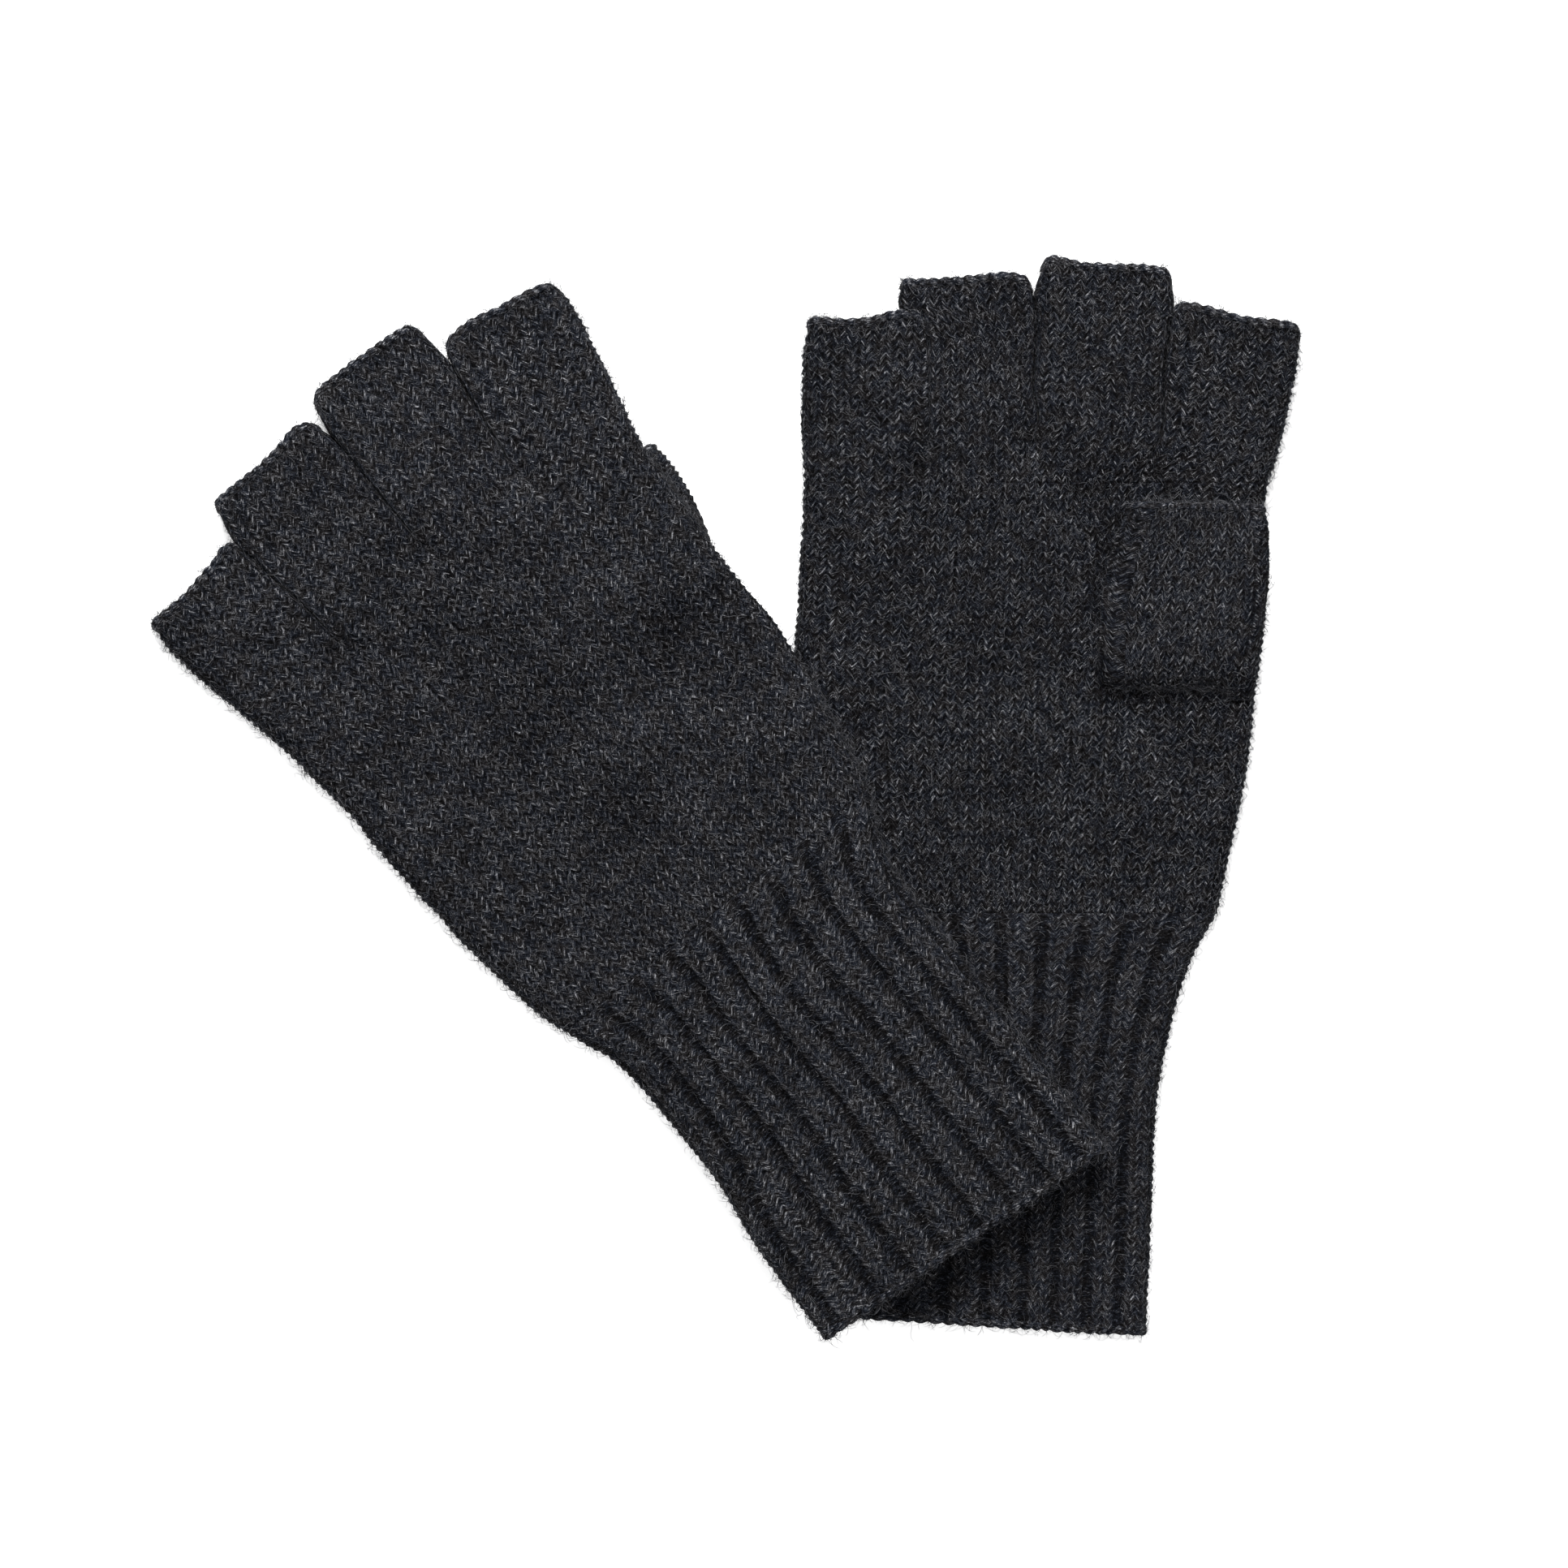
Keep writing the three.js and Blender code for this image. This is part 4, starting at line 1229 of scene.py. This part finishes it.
def wool(name, level=1.0, fleck=1.0, gap_shade_strength=2.3):
    """Heather wool: dark blue-charcoal yarn, pale grey fibres along the yarn's own path and across it."""
    m, nt, bsdf = new_material(name)
    flat = uv_node(nt, "knit")
    yarn = wobble(nt, uv_node(nt, "yarn"), 1.1, 0.5)
    loose = wobble(nt, flat, 0.7, 1.1)
    mul = lambda x, k: math_node(nt, "MULTIPLY", x, k)
    mad = lambda x, k, c: math_node(nt, "MULTIPLY_ADD", x, k, c)
    cen = lambda x: math_node(nt, "SUBTRACT", x, 0.5)
    # strands within the yarn, light and dark
    strand = noise(nt, mapped(nt, yarn, 0, 0.9, 4.6), 1.0, 1.0, 0.6)
    e = mul(cen(strand), 5.2 * fleck)
    # pale fibres that lie along the yarn, and loose ones in every direction
    for k, (src, turn, sx, sy, lo, hi, amp) in enumerate([
            (yarn, 0, 1.1, 5.6, 0.55, 0.70, 1.15), (yarn, 10, 0.95, 4.8, 0.56, 0.72, 1.0),
            (loose, 58, 1.0, 5.2, 0.60, 0.74, 0.65), (loose, 128, 1.0, 5.4, 0.60, 0.74, 0.65),
            (loose, 8, 0.9, 5.2, 0.62, 0.75, 0.5)]):
        n = noise(nt, mapped(nt, src, turn, sx, sy, (13.7 * k + 2, 5.3 * k)), 1.0, 0.0)
        e = mad(soft_step(nt, n, lo, hi), amp * fleck, e)
    # dark gaps between strands
    gap = noise(nt, mapped(nt, loose, 40, 1.6, 3.2, (51, 7)), 1.0, 1.0)
    e = mad(soft_step(nt, gap, 0.55, 0.74), -0.9 * fleck, e)
    fine = noise(nt, flat, 3.6, 2.0, 0.65)
    e = mad(cen(fine), 3.6 * fleck, e)
    mid = noise(nt, flat, 0.42, 2.0, 0.55)
    e = mad(cen(mid), 1.3, e)
    big = noise(nt, flat, 0.075, 2.0, 0.5)
    e = mad(cen(big), 0.9, e)
    # painted shade: the colour darkens with the cav attribute, in stitch gaps, rib grooves, loops and hollows
    cav = nt.nodes.new("ShaderNodeAttribute")
    cav.attribute_type = "GEOMETRY"
    cav.attribute_name = "cav"
    e = mad(math_node(nt, "SUBTRACT", cav.outputs["Fac"], 0.45), -gap_shade_strength, e)
    val = math_node(nt, "MINIMUM", mul(math_node(nt, "EXPONENT", e), 0.0058 * level), 0.30)
    # dark yarn leans blue, with patches that lean brown; the pale fibres are neutral
    pale = nt.nodes.new("ShaderNodeMapRange")
    pale.inputs["From Min"].default_value = 0.008
    pale.inputs["From Max"].default_value = 0.07
    nt.links.new(val, pale.inputs["Value"])
    hue = soft_step(nt, noise(nt, flat, 0.34, 3.0, 0.65), 0.34, 0.66)
    comb = nt.nodes.new("ShaderNodeCombineColor")
    blue, warm, grey = (0.82, 0.968, 1.37), (1.05, 0.985, 1.04), (0.985, 0.995, 1.06)
    for i in range(3):
        dark = mad(hue, warm[i] - blue[i], blue[i])
        w = math_node(nt, "MULTIPLY_ADD", pale.outputs[0], math_node(nt, "SUBTRACT", grey[i], dark), dark)
        nt.links.new(math_node(nt, "MULTIPLY", val, w), comb.inputs[i])
    nt.links.new(comb.outputs[0], bsdf.inputs["Base Color"])
    bsdf.inputs["Roughness"].default_value = 0.92
    bsdf.inputs["Specular IOR Level"].default_value = 0.04
    b = nt.nodes.new("ShaderNodeBump")
    b.inputs["Strength"].default_value = 0.5
    b.inputs["Distance"].default_value = 0.00014
    nt.links.new(mad(fine, 0.5, strand), b.inputs["Height"])
    nt.links.new(b.outputs[0], bsdf.inputs["Normal"])
    return m


def fibre_material():
    m, nt, bsdf = new_material("wool_fibre")
    tone = nt.nodes.new("ShaderNodeAttribute")
    tone.attribute_type = "GEOMETRY"
    tone.attribute_name = "cav"
    uv = nt.nodes.new("ShaderNodeUVMap")
    uv.uv_map = "knit"
    n = noise(nt, uv.outputs[0], 1.3, 2.0)
    r = nt.nodes.new("ShaderNodeValToRGB")
    r.color_ramp.elements[0].position = 0.0
    r.color_ramp.elements[0].color = (0.018, 0.019, 0.023, 1)
    r.color_ramp.elements[1].position = 1.0
    r.color_ramp.elements[1].color = (0.135, 0.136, 0.145, 1)
    k = r.color_ramp.elements.new(0.45)
    k.color = (0.036, 0.037, 0.043, 1)
    nt.links.new(math_node(nt, "MULTIPLY_ADD", math_node(nt, "SUBTRACT", n, 0.5), 0.5, tone.outputs["Fac"]), r.inputs[0])
    nt.links.new(r.outputs[0], bsdf.inputs["Base Color"])
    bsdf.inputs["Roughness"].default_value = 0.7
    bsdf.inputs["Specular IOR Level"].default_value = 0.2
    return m


KNIT = wool("heather_knit", 0.84, 1.16, 2.5)
PALM = wool("heather_knit_palm", 0.63, 1.24, 2.6)
THUMB_KNIT = wool("heather_knit_thumb", 0.83, 1.17, 2.5)
RIB = wool("heather_rib", 0.93, 1.11)
RIB_UNDER = wool("heather_rib_under", 0.945)
EDGE = wool("heather_edge", 1.08)
THUMB_EDGE = wool("heather_thumb_edge", 0.76)
CAST = wool("heather_cast_on", 0.72)
FIBRE = fibre_material()


def finish_piece(ob, mat, node=None):
    ob.data.materials.append(mat)
    if node:
        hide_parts(node)


def blend_line(side, a, b, z=6.0):
    """Start and end of a bend in the layout's own u and v."""
    return point(side, a[0], a[1], z), point(side, b[0], b[1], z)


# ------------------------------------------------------------------ both gloves
FIBRES = {"hand": 6200, "cuff": 4600, "little": 1500, "ring": 1400, "middle": 1400, "index": 1500, "thumb": 1300}
for side in ("right", "left"):
    glove = f"{side}_glove"
    g = GLOVE[side]
    hand = make_hand(side)
    finish_piece(hand, PALM if side == "right" else KNIT, f"{side}_hand")
    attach(hand, glove)
    bends = {}
    for name in FINGERS:
        ob, f = make_finger(side, name)
        ed = finger_edge(f)
        mid = float((f.L(f.v0) + f.R(f.v0)) / 2)
        a, b = blend_line(side, (mid, g["hinge"] - 4.8), (mid, g["hinge"] + 4.8))
        bends[name] = (f"{side}_{name}_stub", a, b)
        finish_piece(ob, PALM if side == "right" else KNIT, f"{side}_{name}")
        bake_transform(ob)
        finish_piece(ed, EDGE, f"{side}_{name}_edge")
        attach(ed, bends[name][0])
    ob, c = make_cuff(side)
    ed = cuff_edge(c)
    mid = float((c.ul(0.0) + c.ur(0.0)) / 2)
    # the flat swing bunches one side of the rib, so it is spread further than the fold
    a, b = blend_line(side, (mid, g["wrist"] - 0.4), (mid, g["wrist"] - (24.0 if side == "right" else 12.0)))
    bends["cuff"] = (f"{side}_wrist", a, b)
    finish_piece(ob, RIB_UNDER if side == "right" else RIB, f"{side}_cuff")
    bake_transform(ob)
    finish_piece(ed, CAST, f"{side}_cuff_edge")
    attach(ed, f"{side}_wrist")
    ob, t = make_thumb(side)
    ed = thumb_edge(t)
    a, b = blend_line(side, (90, t.root), (90, t.root + 8.5))
    bends["thumb"] = (f"{side}_thumb_stub", a, b)
    finish_piece(ob, THUMB_KNIT, f"{side}_thumb")
    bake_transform(ob)
    finish_piece(ed, THUMB_EDGE if side == "right" else EDGE, f"{side}_thumb_edge")
    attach(ed, bends["thumb"][0])
    for i, (section, count) in enumerate(FIBRES.items()):
        fz = make_fibres(side, section, count, 100 + i + (50 if side == "left" else 0))
        finish_piece(fz, FIBRE)
        if section == "hand":
            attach(fz, glove)
        else:
            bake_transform(fz)

# ------------------------------------------------------------------ floor, light and camera
def floor():
    me = bpy.data.meshes.new("floor")
    r = 2.5
    me.from_pydata([(-r, -r, 0), (r, -r, 0), (r, r, 0), (-r, r, 0)], [], [(0, 1, 2, 3)])
    ob = bpy.data.objects.new("floor", me)
    ob.location.z = -0.0006
    bpy.context.scene.collection.objects.link(ob)
    m, nt, bsdf = new_material("floor")
    bsdf.inputs["Base Color"].default_value = (0.9, 0.9, 0.9, 1)
    bsdf.inputs["Roughness"].default_value = 0.9
    bsdf.inputs["Specular IOR Level"].default_value = 0.0
    bsdf.inputs["Emission Color"].default_value = (1, 1, 1, 1)
    bsdf.inputs["Emission Strength"].default_value = 0.6
    me.materials.append(m)
    return ob


floor()


def area(name, loc, aim, size, power):
    L = bpy.data.lights.new(name, "AREA")
    L.shape = "SQUARE"
    L.size = size
    L.energy = power
    ob = bpy.data.objects.new(name, L)
    ob.location = loc
    bpy.context.scene.collection.objects.link(ob)
    from mathutils import Vector
    ob.rotation_mode = "QUATERNION"
    ob.rotation_quaternion = (Vector(aim) - Vector(loc)).to_track_quat("-Z", "Y")
    return ob


area("key", (-0.10, 1.17, 1.14), (0, 0, 0), 0.8, 40.0)
area("fill", (0.5, -0.9, 1.4), (0, 0, 0), 1.4, 5.0)
w = bpy.data.worlds.new("studio")
bpy.context.scene.world = w
w.use_nodes = True
bg = w.node_tree.nodes["Background"]
bg.inputs[0].default_value = (1, 1, 1, 1)
bg.inputs[1].default_value = 0.55

cam = bpy.data.cameras.new("camera")
cam.sensor_width = 36.0
cam.lens = 200.0
cam.clip_start, cam.clip_end = 0.1, 10.0
co = bpy.data.objects.new("camera", cam)
co.location = (0.01208, 0.00289, 0.006 + 0.31878 * 200.0 / 36.0)
bpy.context.scene.collection.objects.link(co)
bpy.context.scene.camera = co
bpy.context.scene.view_settings.view_transform = "Standard"
bpy.context.scene.view_settings.look = "None"
